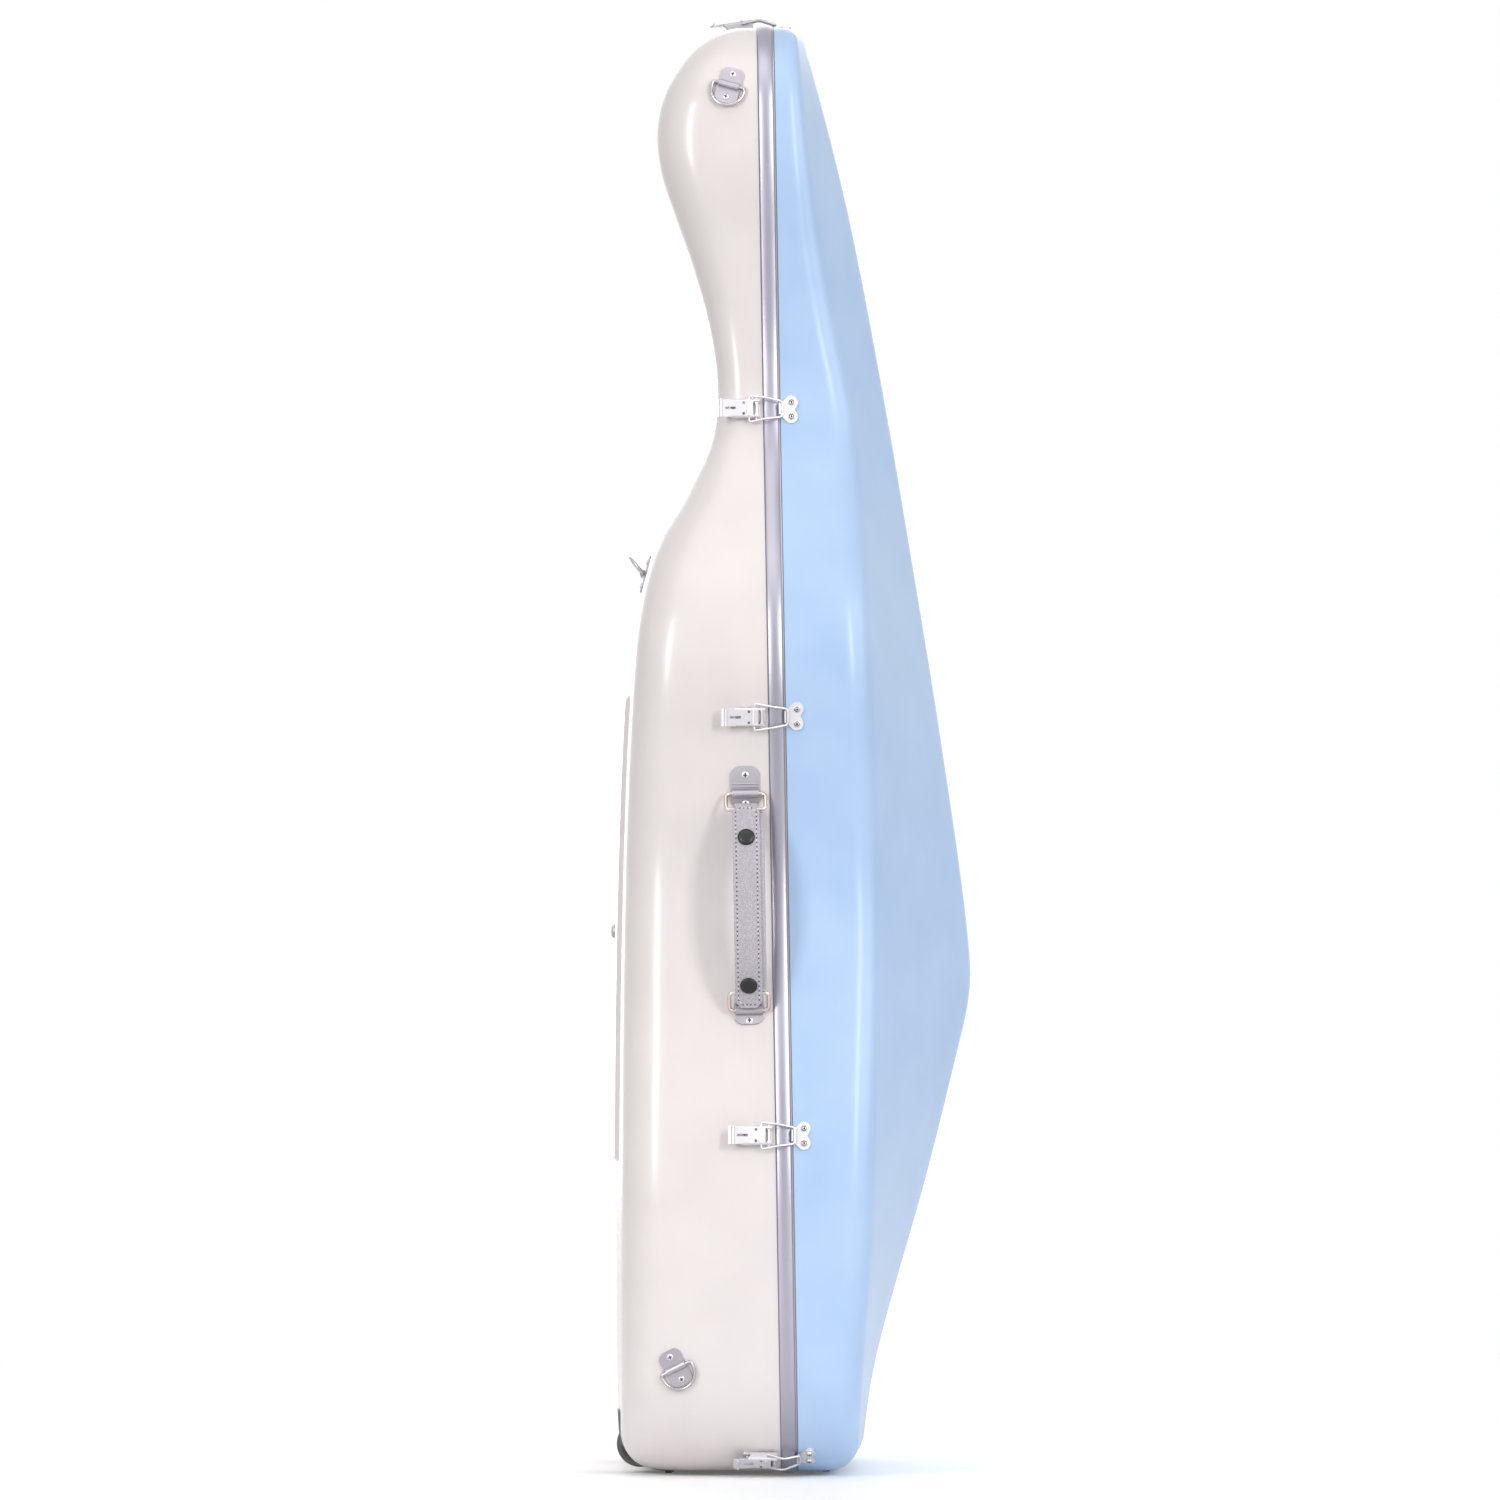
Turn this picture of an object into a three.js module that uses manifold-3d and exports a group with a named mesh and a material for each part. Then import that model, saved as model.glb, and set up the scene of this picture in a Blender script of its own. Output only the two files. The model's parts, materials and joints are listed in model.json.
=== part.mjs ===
// Cello hard case: two moulded shells with an aluminium rim, five draw latches, hinges on the far side,
// a strap handle, strap rings and corner wheels.
// Millimetres. +Z up, -X is the back of the case, +X the lid, -Y the latch side.

import * as THREE from 'three';
import { mergeVertices } from 'three/addons/utils/BufferGeometryUtils.js';
import Module from 'manifold-3d';

const wasm = await Module();
wasm.setup();

const half = 1 / 2;
const quarterTurn = Math.PI / 2;
const degree = Math.PI / 180;

// Case body
const bodyHeight = 1366;
const halfWidth = 240;
const backDepth = 170;
const lidDepth = 175;
const shoulderDepth = 80;
const wall = 3.5;
const clearance = 0.3;
const seamLean = 0.96 * degree;
const seamFootX = 4.3;

// Heights and sizes below are shares of bodyHeight and of the size that the profile is named for.
const widthShares = [
  [0, 0.9], [0.09, 0.98], [0.18, 1], [0.26, 0.95], [0.34, 0.83], [0.42, 0.775], [0.49, 0.81],
  [0.55, 0.84], [0.6, 0.79], [0.65, 0.635], [0.7, 0.465], [0.745, 0.385], [0.78, 0.37], [0.84, 0.4],
  [0.91, 0.44], [1, 0.43],
];
const backShares = [
  [0, 0.995], [0.225, 0.969], [0.427, 0.92], [0.532, 0.867], [0.581, 0.827], [0.62, 0.76], [0.644, 0.69],
  [0.686, 0.488], [0.707, 0.4], [0.7275, 0.359], [0.75, 0.35], [0.79, 0.389], [0.832, 0.48], [0.874, 0.597],
  [0.895, 0.65], [0.92, 0.676], [1, 0.67],
];
const ridgeShares = [
  [0, 0.351], [0.058, 0.419], [0.079, 0.455], [0.204, 0.743], [0.288, 0.917], [0.32, 0.978], [0.342, 0.995],
  [0.372, 0.982], [0.498, 0.863], [0.623, 0.722], [0.749, 0.569], [0.874, 0.395], [0.951, 0.257], [1, 0.154],
];
const shoulderShares = [
  [0, 0.71], [0.079, 0.79], [0.18, 0.91], [0.29, 0.95], [0.437, 0.99], [0.569, 0.975], [0.634, 0.925],
  [0.693, 0.86], [0.742, 0.775], [0.783, 0.63], [0.843, 0.475], [0.891, 0.394], [1, 0.275],
];

// Rounded ends: reach across the case and reach along its height
const footWidthRound = { across: 90, along: 90 };
const footBackRound = { across: 36, along: 36 };
const footLidRound = { across: 28, along: 28 };
const headWidthRound = { across: 75, along: 85 };
const headBackRound = { across: 88, along: 110 };
const headLidRound = { across: 12, along: 14 };

// Cross-section of the shells
const backCornerRadius = 46;
const backCrown = 7;
const backDraft = 7;
const shoulderRadius = 30;
const crestRadius = 70;
const crestHalfWidth = 16;
const lidDraft = 6;
const filletLimitShare = 0.46;
const backArcSteps = 4;
const lidArcSteps = 3;
const liningArcSteps = 1;

// Stations along the height
const footArcSteps = 4;
const bodySteps = 8;
const neckSteps = 10;
const headArcSteps = 4;
const neckStartShare = 0.53;

// Rim: aluminium frame on the back shell, thin frame in the lid, rubber seal between them
const frameWidth = 17;
const frameEdgeProud = 0.9;
const frameCrownProud = 2.1;
const frameSlotDepth = 6;
const frameInnerLap = 4;
const frameLip = 1.6;
const grooveDepth = 5.4;
const grooveWidth = 2.4;
const grooveInset = 0.7;
const tongueReach = 2.2;
const lidLip = 1.4;
const lidInnerLap = 11;

// Padded lining
const liningThickness = 9;
const liningGap = 1.3;

// Raised centre of the back
const panelShares = { bottom: 0.21, top: 0.54, halfWidth: 0.396 };
const panelProud = 4.2;
const panelBevel = 5;
const panelSteps = 8;
const panelRoot = 1.6;

// Draw latch, along x from the lever's tip (negative) over the parting plane (zero) to the catch
const sheet = 1.2;
const runGap = 0.4;
const leverTipX = -58;
const leverWidth = 18;
const leverTop = 8.4;
const leverCurl = 4.2;
const leverCurlTurn = 70 * degree;
const leverFlangeX = -45;
const leverFlangeFoot = 2.4;
const fulcrumX = -20.5;
const fulcrumHeight = 4.6;
const fulcrumRadius = 2.9;
const pinRadius = 1.2;
const bailPivotX = -27.5;
const bailPivotHeight = 4.3;
const bailWire = 1.1;
const bailWideHalf = 12.8;
const bailNarrowHalf = 7.6;
const bailPeakX = -12;
const bailPeakHeight = 8.8;
const bailFarX = 3.7;
const bailFarHeight = 3.7;
const bailCorner = 2.6;
const latchPlateHalfWidth = 6.2;
const latchPlateX = -50;
const latchPlateEndX = -17.9;
const latchPlateTop = 1.3;
const plateRoot = 3.2;
const earInset = 0.5;
const earRadius = 2.3;
const catchEdgeX = 1.7;
const catchHookHalfWidth = 5.4;
const catchLobeX = 12.2;
const catchLobeSpread = 6.9;
const catchLobeRadius = 6.3;
const catchHookHeight = 5.6;
const catchHookLean = 1.6;
const catchHookLip = 2.1;
const latchShares = { bottom: 0.0124, lower: 0.2335, upper: 0.5205, neck: 0.7328 };

// Strap rings: plate, raised barrel and D-shaped ring
const ringPlateWidth = 20;
const ringPlateUp = 18;
const ringPlateDown = 18;
const ringPlateTop = 1.4;
const ringBarrelRadius = 3.4;
const ringAxisHeight = 2.9;
const ringWire = 1.5;
const ringHalfWidth = 15.5;
const ringDrop = 20.5;
const sideRingShares = {
  upper_side: { height: 0.9568, depth: 0.241, side: -1, turn: -16 * degree },
  lower_side: { height: 0.0747, depth: 0.653, side: -1, turn: 27 * degree },
  far_side: { height: 0.0747, depth: 0.653, side: 1, turn: 27 * degree },
};
const backRingShares = { height: 0.6193, spread: 0.2083 };
const backRingTurn = 125 * degree;

// Strap handle between two brackets: y runs up along the case
const handleShares = { middle: 0.3931, depth: 0.2159 };
const handleHalfSpan = 101.7;
const bracketWidth = 28;
const bracketLong = 26;
const bracketShort = 13;
const handleBarrelRadius = 3.6;
const handleAxisHeight = 3.4;
const handleWire = 1.5;
const handleRingHalf = 18.5;
const handleRingReach = 19;
const handleRingTurn = 35 * degree;
const handleRingCorner = 4;
const handleLiftTravel = 4;
const strapWidth = 25;
const strapThickness = 8;
const strapCrown = 33;
const strapLoopWall = 2.2;
const strapLoopWidth = 22;
const strapSteps = 8;
const strapShares = [[-1, 0], [-0.72, 0.62], [-0.36, 0.95], [0, 1], [0.36, 0.95], [0.72, 0.62], [1, 0]];
const snapRadius = 8;
const snapHeight = 2.2;
const snapRim = 0.8;
const snapShares = { upper: 0.81, lower: 0.08 };

// Hinges on the far side
const hingeShares = { lower: 0.1281, middle: 0.2196, upper: 0.5454 };
const hingeLineShares = { low: 0.172, high: 0.5454 };
const hingeLength = 46;
const hingeLeafReach = 20;
const hingeLeafTop = 1.3;
const hingeArmFoot = 2.7;
const hingeRoot = 6;
const knuckleRadius = 3.6;
const hingePinRadius = 1.5;
const hingeAxisProud = 7.2;
const knuckleShares = [0, 0.28, 0.72, 1];
const knuckleTangentShare = 0.9;

// Wheels in the lower back corners
const wheelRadius = 22;
const wheelWidth = 20;
const wheelInset = 27;
const wheelZ = 24;
const wheelSpreadShare = 0.3667;
const axleRadius = 3;
const tyreRound = 3;
const hubRadius = 7;
const hubProud = 1.5;
const wheelRunGap = 2.5;
const housingWall = 2.4;
const housingFlange = 1.6;
const housingLap = 5;
const housingReach = 27;

// Feet and back stud
const footRadius = 5.5;
const footTipRadius = 3;
const footHeight = 3.3;
const footSpreadShare = 0.3083;
const footX = 33;
const heelWidth = 30;
const heelLength = 6;
const heelInset = 54;
const studRadius = 6.6;
const studHeight = 3;
const studHeightShare = 0.3712;

// Inside: neck cradle, neck strap and bow clip
const cradleShares = { bottom: 0.6845, top: 0.7211 };
const cradleHalfWidth = 62;
const cradleNotch = 24;
const cradleFrontGap = 22;
const neckStrapWidth = 30;
const neckStrapThickness = 2.4;
const bowClipHeightShare = 0.8272;
const liningSag = 0.6;
const bowClipLength = 46;
const bowClipWidth = 14;
const bowClipThickness = 5;
const bowClipStem = 4;
const bowClipStand = 14;

// Shapes of small parts
const roundSteps = 3;
const wireSides = 5;

const colours = {
  cream: 0xdcd3cb,
  blue: 0xb4d0ee,
  aluminium: 0xc9c8d2,
  steel: 0xcfcfd4,
  nickel: 0xd8d0c0,
  rubber: 0x1c1c1e,
  wheel: 0x6f7074,
  leather: 0xc6c3c8,
  plush: 0x3a4258,
  webbing: 0x23252b,
  snap: 0x0c0c0d,
};

function finish(colour, roughness, metalness) {
  return new THREE.MeshStandardMaterial({ color: colour, roughness, metalness });
}

const creamShell = finish(colours.cream, 0.32, 0);
const blueShell = finish(colours.blue, 0.34, 0);
const aluminium = finish(colours.aluminium, 0.35, 0.9);
const steel = finish(colours.steel, 0.28, 0.9);
const nickel = finish(colours.nickel, 0.2, 0.9);
const rubber = finish(colours.rubber, 0.8, 0);
const wheelPlastic = finish(colours.wheel, 0.55, 0);
const leather = finish(colours.leather, 0.6, 0);
const plush = finish(colours.plush, 0.95, 0);
const webbing = finish(colours.webbing, 0.9, 0);
const snapMetal = finish(colours.snap, 0.35, 0.3);

// Smooth curve through [place, value] pairs that never overshoots between them
function smoothProfile(pairs) {
  const slopeAfter = (index) => {
    const [fromPlace, fromValue] = pairs[index];
    const [toPlace, toValue] = pairs[index + 1];
    return (toValue - fromValue) / (toPlace - fromPlace);
  };
  const tangents = pairs.map((pair, index) => {
    if (index === 0) return slopeAfter(0);
    const before = slopeAfter(index - 1);
    if (index === pairs.length - 1) return before;
    const after = slopeAfter(index);
    if (before * after <= 0) return 0;
    const steepest = 3 * Math.min(Math.abs(before), Math.abs(after));
    return Math.sign(after) * Math.min(Math.abs(before + after) * half, steepest);
  });
  return (place) => {
    const inside = THREE.MathUtils.clamp(place, pairs[0][0], pairs[pairs.length - 1][0]);
    let index = pairs.length - 2;
    while (index > 0 && pairs[index][0] > inside) index -= 1;
    const span = pairs[index + 1][0] - pairs[index][0];
    const t = (inside - pairs[index][0]) / span;
    const s = 1 - t;
    return (1 + 2 * t) * s * s * pairs[index][1] + t * s * s * span * tangents[index]
      + t * t * (3 - 2 * t) * pairs[index + 1][1] - t * t * s * span * tangents[index + 1];
  };
}

const widthProfile = smoothProfile(widthShares);
const backProfile = smoothProfile(backShares);
const ridgeProfile = smoothProfile(ridgeShares);
const shoulderProfile = smoothProfile(shoulderShares);

// How far a rounded end draws a profile in at a distance from that end
function endDraw(distance, round, inset) {
  const along = round.along - inset;
  const across = round.across - inset;
  if (distance >= along) return 0;
  const rise = 1 - Math.max(distance, 0) / along;
  return across * (1 - Math.sqrt(1 - rise * rise));
}

// Size of one profile at a height, moved inwards by inset square to its own slope
function insetSize(profile, size, z, inset, footRound, headRound) {
  const share = z / bodyHeight;
  const shareStep = 1 / 2000;
  const slope = (profile(share + shareStep) - profile(share - shareStep)) * size
    / (2 * shareStep * bodyHeight);
  return profile(share) * size - inset * Math.hypot(1, slope)
    - endDraw(z - inset, footRound, inset) - endDraw(bodyHeight - inset - z, headRound, inset);
}

const seamX = (z) => seamFootX - Math.tan(seamLean) * z;
const widthAt = (z, inset = 0) => (
  insetSize(widthProfile, halfWidth, z, inset, footWidthRound, headWidthRound)
);
const backAt = (z, inset = 0) => insetSize(backProfile, backDepth, z, inset, footBackRound, headBackRound);
const ridgeAt = (z, inset = 0) => insetSize(ridgeProfile, lidDepth, z, inset, footLidRound, headLidRound);
const shoulderAt = (z, inset = 0) => (
  insetSize(shoulderProfile, shoulderDepth, z, inset, footLidRound, headLidRound)
);

const headStartHeight = bodyHeight - headBackRound.along;

// Heights of the cross-sections, close together where the outline turns
function stationHeights() {
  const heights = [0];
  for (let step = 1; step <= footArcSteps; step += 1) {
    heights.push(footWidthRound.along * (1 - Math.cos((step / footArcSteps) * quarterTurn)));
  }
  const neckStart = neckStartShare * bodyHeight;
  const footEnd = footWidthRound.along;
  for (let step = 1; step <= bodySteps; step += 1) {
    heights.push(footEnd + ((neckStart - footEnd) * step) / bodySteps);
  }
  for (let step = 1; step <= neckSteps; step += 1) {
    heights.push(neckStart + ((headStartHeight - neckStart) * step) / neckSteps);
  }
  for (let step = headArcSteps - 1; step >= 0; step -= 1) {
    heights.push(bodyHeight - headBackRound.along * (1 - Math.cos((step / headArcSteps) * quarterTurn)));
  }
  return heights;
}

const stations = stationHeights();
const insetHeight = (z, inset) => inset + (z * (bodyHeight - 2 * inset)) / bodyHeight;

// Corner of an outline turned into an arc of steps pieces
function roundedCorner(before, corner, after, radius, steps) {
  const back = before.clone().sub(corner);
  const ahead = after.clone().sub(corner);
  const limit = Math.min(back.length(), ahead.length()) * filletLimitShare;
  back.normalize();
  ahead.normalize();
  const halfAngle = Math.acos(THREE.MathUtils.clamp(back.dot(ahead), -1, 1)) * half;
  const reach = Math.min(radius / Math.tan(halfAngle), limit);
  const start = corner.clone().addScaledVector(back, reach);
  const end = corner.clone().addScaledVector(ahead, reach);
  const arcRadius = reach * Math.tan(halfAngle);
  const centre = corner.clone()
    .addScaledVector(back.clone().add(ahead).normalize(), Math.hypot(reach, arcRadius));
  const from = start.sub(centre);
  const turn = Math.PI - 2 * halfAngle;
  const side = Math.sign(from.cross(end.sub(centre)));
  const points = [];
  for (let step = 0; step <= steps; step += 1) {
    points.push(from.clone().rotateAround(new THREE.Vector2(), (side * turn * step) / steps).add(centre));
  }
  return points;
}

// Half cross-section of the back shell as (depth, y), from the rim to the middle of the back
function backHalfSection(z, inset, rim, steps) {
  const width = widthAt(z, inset);
  const depth = backAt(z, inset);
  const drawn = width - backDraft * (depth / backDepth);
  const seam = new THREE.Vector2(0, width);
  const edge = new THREE.Vector2(rim, width + ((drawn - width) * rim) / depth);
  const corner = new THREE.Vector2(depth - backCrown * (depth / backDepth), drawn);
  const middle = new THREE.Vector2(depth, 0);
  return [edge, ...roundedCorner(seam, corner, middle, backCornerRadius - inset, steps), middle];
}

// The same for the lid: side wall, shoulder, slanted front and rounded crest
function lidHalfSection(z, inset, rim, steps) {
  const width = widthAt(z, inset);
  const ridge = ridgeAt(z, inset);
  const shoulder = Math.min(shoulderAt(z, inset), ridge - clearance);
  const drawn = width - lidDraft * (shoulder / shoulderDepth);
  const seam = new THREE.Vector2(0, width);
  const edge = new THREE.Vector2(rim, width + ((drawn - width) * rim) / shoulder);
  const corner = new THREE.Vector2(shoulder, drawn);
  const crest = new THREE.Vector2(ridge, Math.min(crestHalfWidth, drawn * half));
  const middle = new THREE.Vector2(ridge, 0);
  return [
    edge,
    ...roundedCorner(seam, corner, crest, shoulderRadius - inset, steps),
    ...roundedCorner(corner, crest, middle, crestRadius, steps),
    middle,
  ];
}

// One skin of a shell as rows of points, one row per station
function skin(side, inset, rim, steps) {
  const halfSection = side < 0 ? backHalfSection : lidHalfSection;
  return stations.map((station) => {
    const z = insetHeight(station, inset);
    const right = halfSection(z, inset, rim, steps);
    const left = right.slice(0, -1).reverse();
    return [
      ...right.map((p) => new THREE.Vector3(seamX(z) + side * p.x, -p.y, z)),
      ...left.map((p) => new THREE.Vector3(seamX(z) + side * p.x, p.y, z)),
    ];
  });
}

function geometryOf(positions, triangles) {
  const geometry = new THREE.BufferGeometry();
  const coordinates = positions.flatMap((p) => p.toArray());
  geometry.setAttribute('position', new THREE.Float32BufferAttribute(coordinates, 3));
  geometry.setIndex(triangles);
  return geometry;
}

// Skin of triangles over rows of points, with a fan over each end
function stitchRows(rows, triangles, positions, flip) {
  const start = positions.length;
  const across = rows[0].length;
  rows.forEach((row) => positions.push(...row));
  const add = (a, b, c) => triangles.push(...(flip ? [a, c, b] : [a, b, c]));
  for (let row = 0; row < rows.length - 1; row += 1) {
    for (let column = 0; column < across - 1; column += 1) {
      const here = start + row * across + column;
      add(here, here + 1, here + across + 1);
      add(here, here + across + 1, here + across);
    }
  }
  const foot = start;
  const head = start + (rows.length - 1) * across;
  for (let column = 1; column < across - 1; column += 1) {
    add(foot, foot + column + 1, foot + column);
    add(head, head + column, head + column + 1);
  }
  return start;
}

// Turns a closed mesh inside out where its faces point inwards
function facingOut(positions, triangles) {
  let volume = 0;
  for (let index = 0; index < triangles.length; index += 3) {
    const [a, b, c] = triangles.slice(index, index + 3).map((place) => positions[place]);
    volume += a.dot(b.clone().cross(c));
  }
  return geometryOf(positions, volume < 0 ? triangles.slice().reverse() : triangles);
}

function addQuad(triangles, a, b, c, d) {
  triangles.push(a, b, c, a, c, d);
}

// Shell between an outer and an inner skin that share a rim
function shellBetween(outer, inner) {
  const positions = [];
  const triangles = [];
  const outerStart = stitchRows(outer, triangles, positions, false);
  const innerStart = stitchRows(inner, triangles, positions, true);
  const across = outer[0].length;
  const loop = [
    ...outer.map((row, index) => index * across),
    ...outer.map((row, index) => index * across + across - 1).reverse(),
  ];
  loop.forEach((place, index) => {
    const next = loop[(index + 1) % loop.length];
    addQuad(triangles, outerStart + place, outerStart + next, innerStart + next, innerStart + place);
  });
  return facingOut(positions, triangles);
}

// Solid inside one skin, closed over the parting plane
function filledSkin(rows) {
  const positions = [];
  const triangles = [];
  const start = stitchRows(rows, triangles, positions, false);
  const across = rows[0].length;
  for (let row = 0; row < rows.length - 1; row += 1) {
    const low = start + row * across;
    const high = low + across;
    addQuad(triangles, low, high, high + across - 1, low + across - 1);
  }
  return facingOut(positions, triangles);
}

// Ring that follows the rim: section points are (depth towards the back, height above the shell's skin)
function rimRing(section) {
  const positions = [];
  const triangles = [];
  const place = (station, sideways, [depth, proud]) => {
    const z = insetHeight(station, -proud);
    positions.push(new THREE.Vector3(seamX(z) - depth, sideways * widthAt(z, -proud), z));
  };
  stations.forEach((station) => section.forEach((point) => place(station, -1, point)));
  stations.slice().reverse().forEach((station) => section.forEach((point) => place(station, 1, point)));
  const around = section.length;
  const rings = stations.length * 2;
  for (let ring = 0; ring < rings; ring += 1) {
    for (let corner = 0; corner < around; corner += 1) {
      const next = (corner + 1) % around;
      const here = ring * around;
      const there = ((ring + 1) % rings) * around;
      addQuad(triangles, here + corner, here + next, there + next, there + corner);
    }
  }
  return facingOut(positions, triangles);
}

function toSolid(geometry) {
  const bare = geometry.clone();
  bare.deleteAttribute('normal');
  bare.deleteAttribute('uv');
  const merged = mergeVertices(bare, clearance / 100);
  return new wasm.Manifold(new wasm.Mesh({
    numProp: 3,
    vertProperties: new Float32Array(merged.attributes.position.array),
    triVerts: new Uint32Array(merged.index.array),
  }));
}

function toGeometry(solid) {
  const mesh = solid.getMesh();
  const geometry = new THREE.BufferGeometry();
  geometry.setAttribute('position', new THREE.BufferAttribute(mesh.vertProperties, 3));
  geometry.setIndex(new THREE.BufferAttribute(mesh.triVerts, 1));
  return geometry;
}

const joinAll = (geometries) => toGeometry(geometries.map(toSolid).reduce((sum, next) => sum.add(next)));
const cutBy = (geometry, ...cutters) => (
  toGeometry(cutters.map(toSolid).reduce((left, cutter) => left.subtract(cutter), toSolid(geometry)))
);

const caseGroup = new THREE.Group();

function addMesh(parent, name, geometry, material) {
  const mesh = new THREE.Mesh(geometry, material);
  mesh.name = name;
  parent.add(mesh);
  return mesh;
}

// Shells and their raised back
const backEdge = frameWidth - frameSlotDepth + clearance;
const lidEdge = lidLip + 2 * clearance;

// Depth of the back's outer face at a height and a distance from the middle
function backFaceDepth(z, y) {
  const depth = backAt(z);
  const scale = depth / backDepth;
  return depth - (backCrown * scale * Math.abs(y)) / (widthAt(z) - backDraft * scale);
}

function raisedPanel() {
  const panelBottom = panelShares.bottom * bodyHeight;
  const panelTop = panelShares.top * bodyHeight;
  const panelHalfWidth = panelShares.halfWidth * halfWidth;
  const heights = [panelBottom];
  for (let step = 0; step <= panelSteps; step += 1) {
    heights.push(THREE.MathUtils.lerp(panelBottom + panelBevel, panelTop - panelBevel, step / panelSteps));
  }
  heights.push(panelTop);
  const face = panelHalfWidth - panelBevel;
  const rows = heights.map((z, index) => {
    const buried = index === 0 || index === heights.length - 1;
    const proud = buried ? clearance - panelRoot : panelProud;
    return [
      [panelBevel, -panelRoot], [panelHalfWidth, -panelRoot], [face, proud], [0, proud],
      [-face, proud], [-panelHalfWidth, -panelRoot], [-panelBevel, -panelRoot],
    ].map(([y, lift]) => new THREE.Vector3(seamX(z) - backFaceDepth(z, y) - lift, y, z));
  });
  return filledSkin(rows);
}

const lidShell = shellBetween(skin(1, 0, lidEdge, lidArcSteps), skin(1, wall, lidEdge, lidArcSteps));
const backEnvelope = filledSkin(skin(-1, -clearance, 0, backArcSteps));
const lidEnvelope = filledSkin(skin(1, -clearance, 0, lidArcSteps));
const flangeEnvelope = filledSkin(skin(-1, -clearance - housingFlange, 0, backArcSteps));

// Box from its lowest to its highest corner
function boxBetween(low, high) {
  const size = high.map((value, index) => value - low[index]);
  return new THREE.BoxGeometry(...size)
    .translate(...low.map((value, index) => value + size[index] * half));
}

const wheelX = wheelInset - backDepth;
const wheelSpread = wheelSpreadShare * halfWidth;

// Space that a wheel housing takes out of the lower back corner
const housingBox = (y, grow) => {
  const side = wheelWidth * half + wheelRunGap + housingWall + grow;
  const reach = housingReach + grow;
  return boxBetween(
    [wheelX - 2 * wheelRadius, y - side, wheelZ - 2 * wheelRadius],
    [wheelX + reach, y + side, wheelZ + reach],
  );
};
const wheelSides = [['near', -wheelSpread], ['far', wheelSpread]];
const housingHoles = wheelSides.map(([, y]) => housingBox(y, clearance));
addMesh(caseGroup, 'back_shell', cutBy(joinAll([
  shellBetween(skin(-1, 0, backEdge, backArcSteps), skin(-1, wall, backEdge, backArcSteps)), raisedPanel(),
]), ...housingHoles), creamShell);
addMesh(caseGroup, 'lid_shell', lidShell, blueShell);

// Rim frames and seal
const backDraftSlope = backDraft / (backDepth - backCrown);
const lidDraftSlope = lidDraft / shoulderDepth;
const backInnerFace = -wall - clearance - backDraftSlope * (backEdge + frameInnerLap);
const lidInnerFace = -wall - clearance - lidDraftSlope * lidInnerLap;
const lipFace = Math.min(backInnerFace, lidInnerFace) - frameLip;
const grooveTop = -grooveInset;
const grooveFloor = grooveTop - grooveWidth;
addMesh(caseGroup, 'back_frame', rimRing([
  [0, frameEdgeProud], [frameWidth * half, frameCrownProud], [frameWidth, frameEdgeProud],
  [frameWidth, clearance], [backEdge - clearance, clearance], [backEdge - clearance, backInnerFace],
  [backEdge + frameInnerLap, backInnerFace], [backEdge + frameInnerLap, lipFace], [0, lipFace],
  [0, grooveFloor], [grooveDepth, grooveFloor], [grooveDepth, grooveTop], [0, grooveTop],
]), aluminium);
addMesh(caseGroup, 'lid_frame', rimRing([
  [-clearance, 0], [-clearance, grooveTop - clearance], [tongueReach, grooveTop - clearance],
  [tongueReach, grooveFloor + clearance], [-clearance, grooveFloor + clearance], [-clearance, lipFace],
  [-lidInnerLap, lipFace], [-lidInnerLap, lidInnerFace],
  [-lidLip - clearance, lidInnerFace], [-lidLip - clearance, 0],
]), aluminium);
addMesh(caseGroup, 'rim_seal', rimRing([
  [tongueReach + clearance, grooveTop - clearance], [grooveDepth - clearance, grooveTop - clearance],
  [grooveDepth - clearance, grooveFloor + clearance], [tongueReach + clearance, grooveFloor + clearance],
]), rubber);

// Places on the case: x runs towards the lid, z stands off the surface
function surfaceGroup(point, towardsLid, outward, spin = 0) {
  const x = towardsLid.clone().normalize();
  const z = outward.clone().addScaledVector(x, -outward.dot(x)).normalize();
  const y = z.clone().cross(x);
  const group = new THREE.Group();
  group.matrixAutoUpdate = true;
  group.quaternion.setFromRotationMatrix(new THREE.Matrix4().makeBasis(x, y, z));
  group.position.copy(point);
  group.rotateZ(spin);
  group.updateMatrixWorld(true);
  caseGroup.add(group);
  return group;
}

const alongStep = 1;

// Half width where the wall stands, also between two stations of a hollow waist
function wallWidth(z) {
  let above = 1;
  while (above < stations.length - 1 && stations[above] < z) above += 1;
  const low = stations[above - 1];
  const high = stations[above];
  return Math.max(widthAt(z), THREE.MathUtils.mapLinear(z, low, high, widthAt(low), widthAt(high)));
}

// Point of the side wall at a height and a depth behind the parting plane, negative on the lid
function wallPoint(z, side, depth) {
  const slope = depth > 0 ? backDraftSlope : lidDraftSlope;
  return new THREE.Vector3(seamX(z) - depth, side * (wallWidth(z) - slope * Math.abs(depth)), z);
}

function wallGroup(z, side, depth = 0, spin = 0) {
  const here = wallPoint(z, side, depth);
  const up = wallPoint(z + alongStep, side, depth).sub(wallPoint(z - alongStep, side, depth));
  const slope = depth > 0 ? backDraftSlope : -lidDraftSlope;
  const towardsLid = new THREE.Vector3(1, side * (depth === 0 ? 0 : slope), 0);
  const outward = towardsLid.clone().cross(up).multiplyScalar(-side);
  return surfaceGroup(here, towardsLid, outward, spin);
}

function backPoint(z, y) {
  return new THREE.Vector3(seamX(z) - backFaceDepth(z, y), y, z);
}

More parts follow.
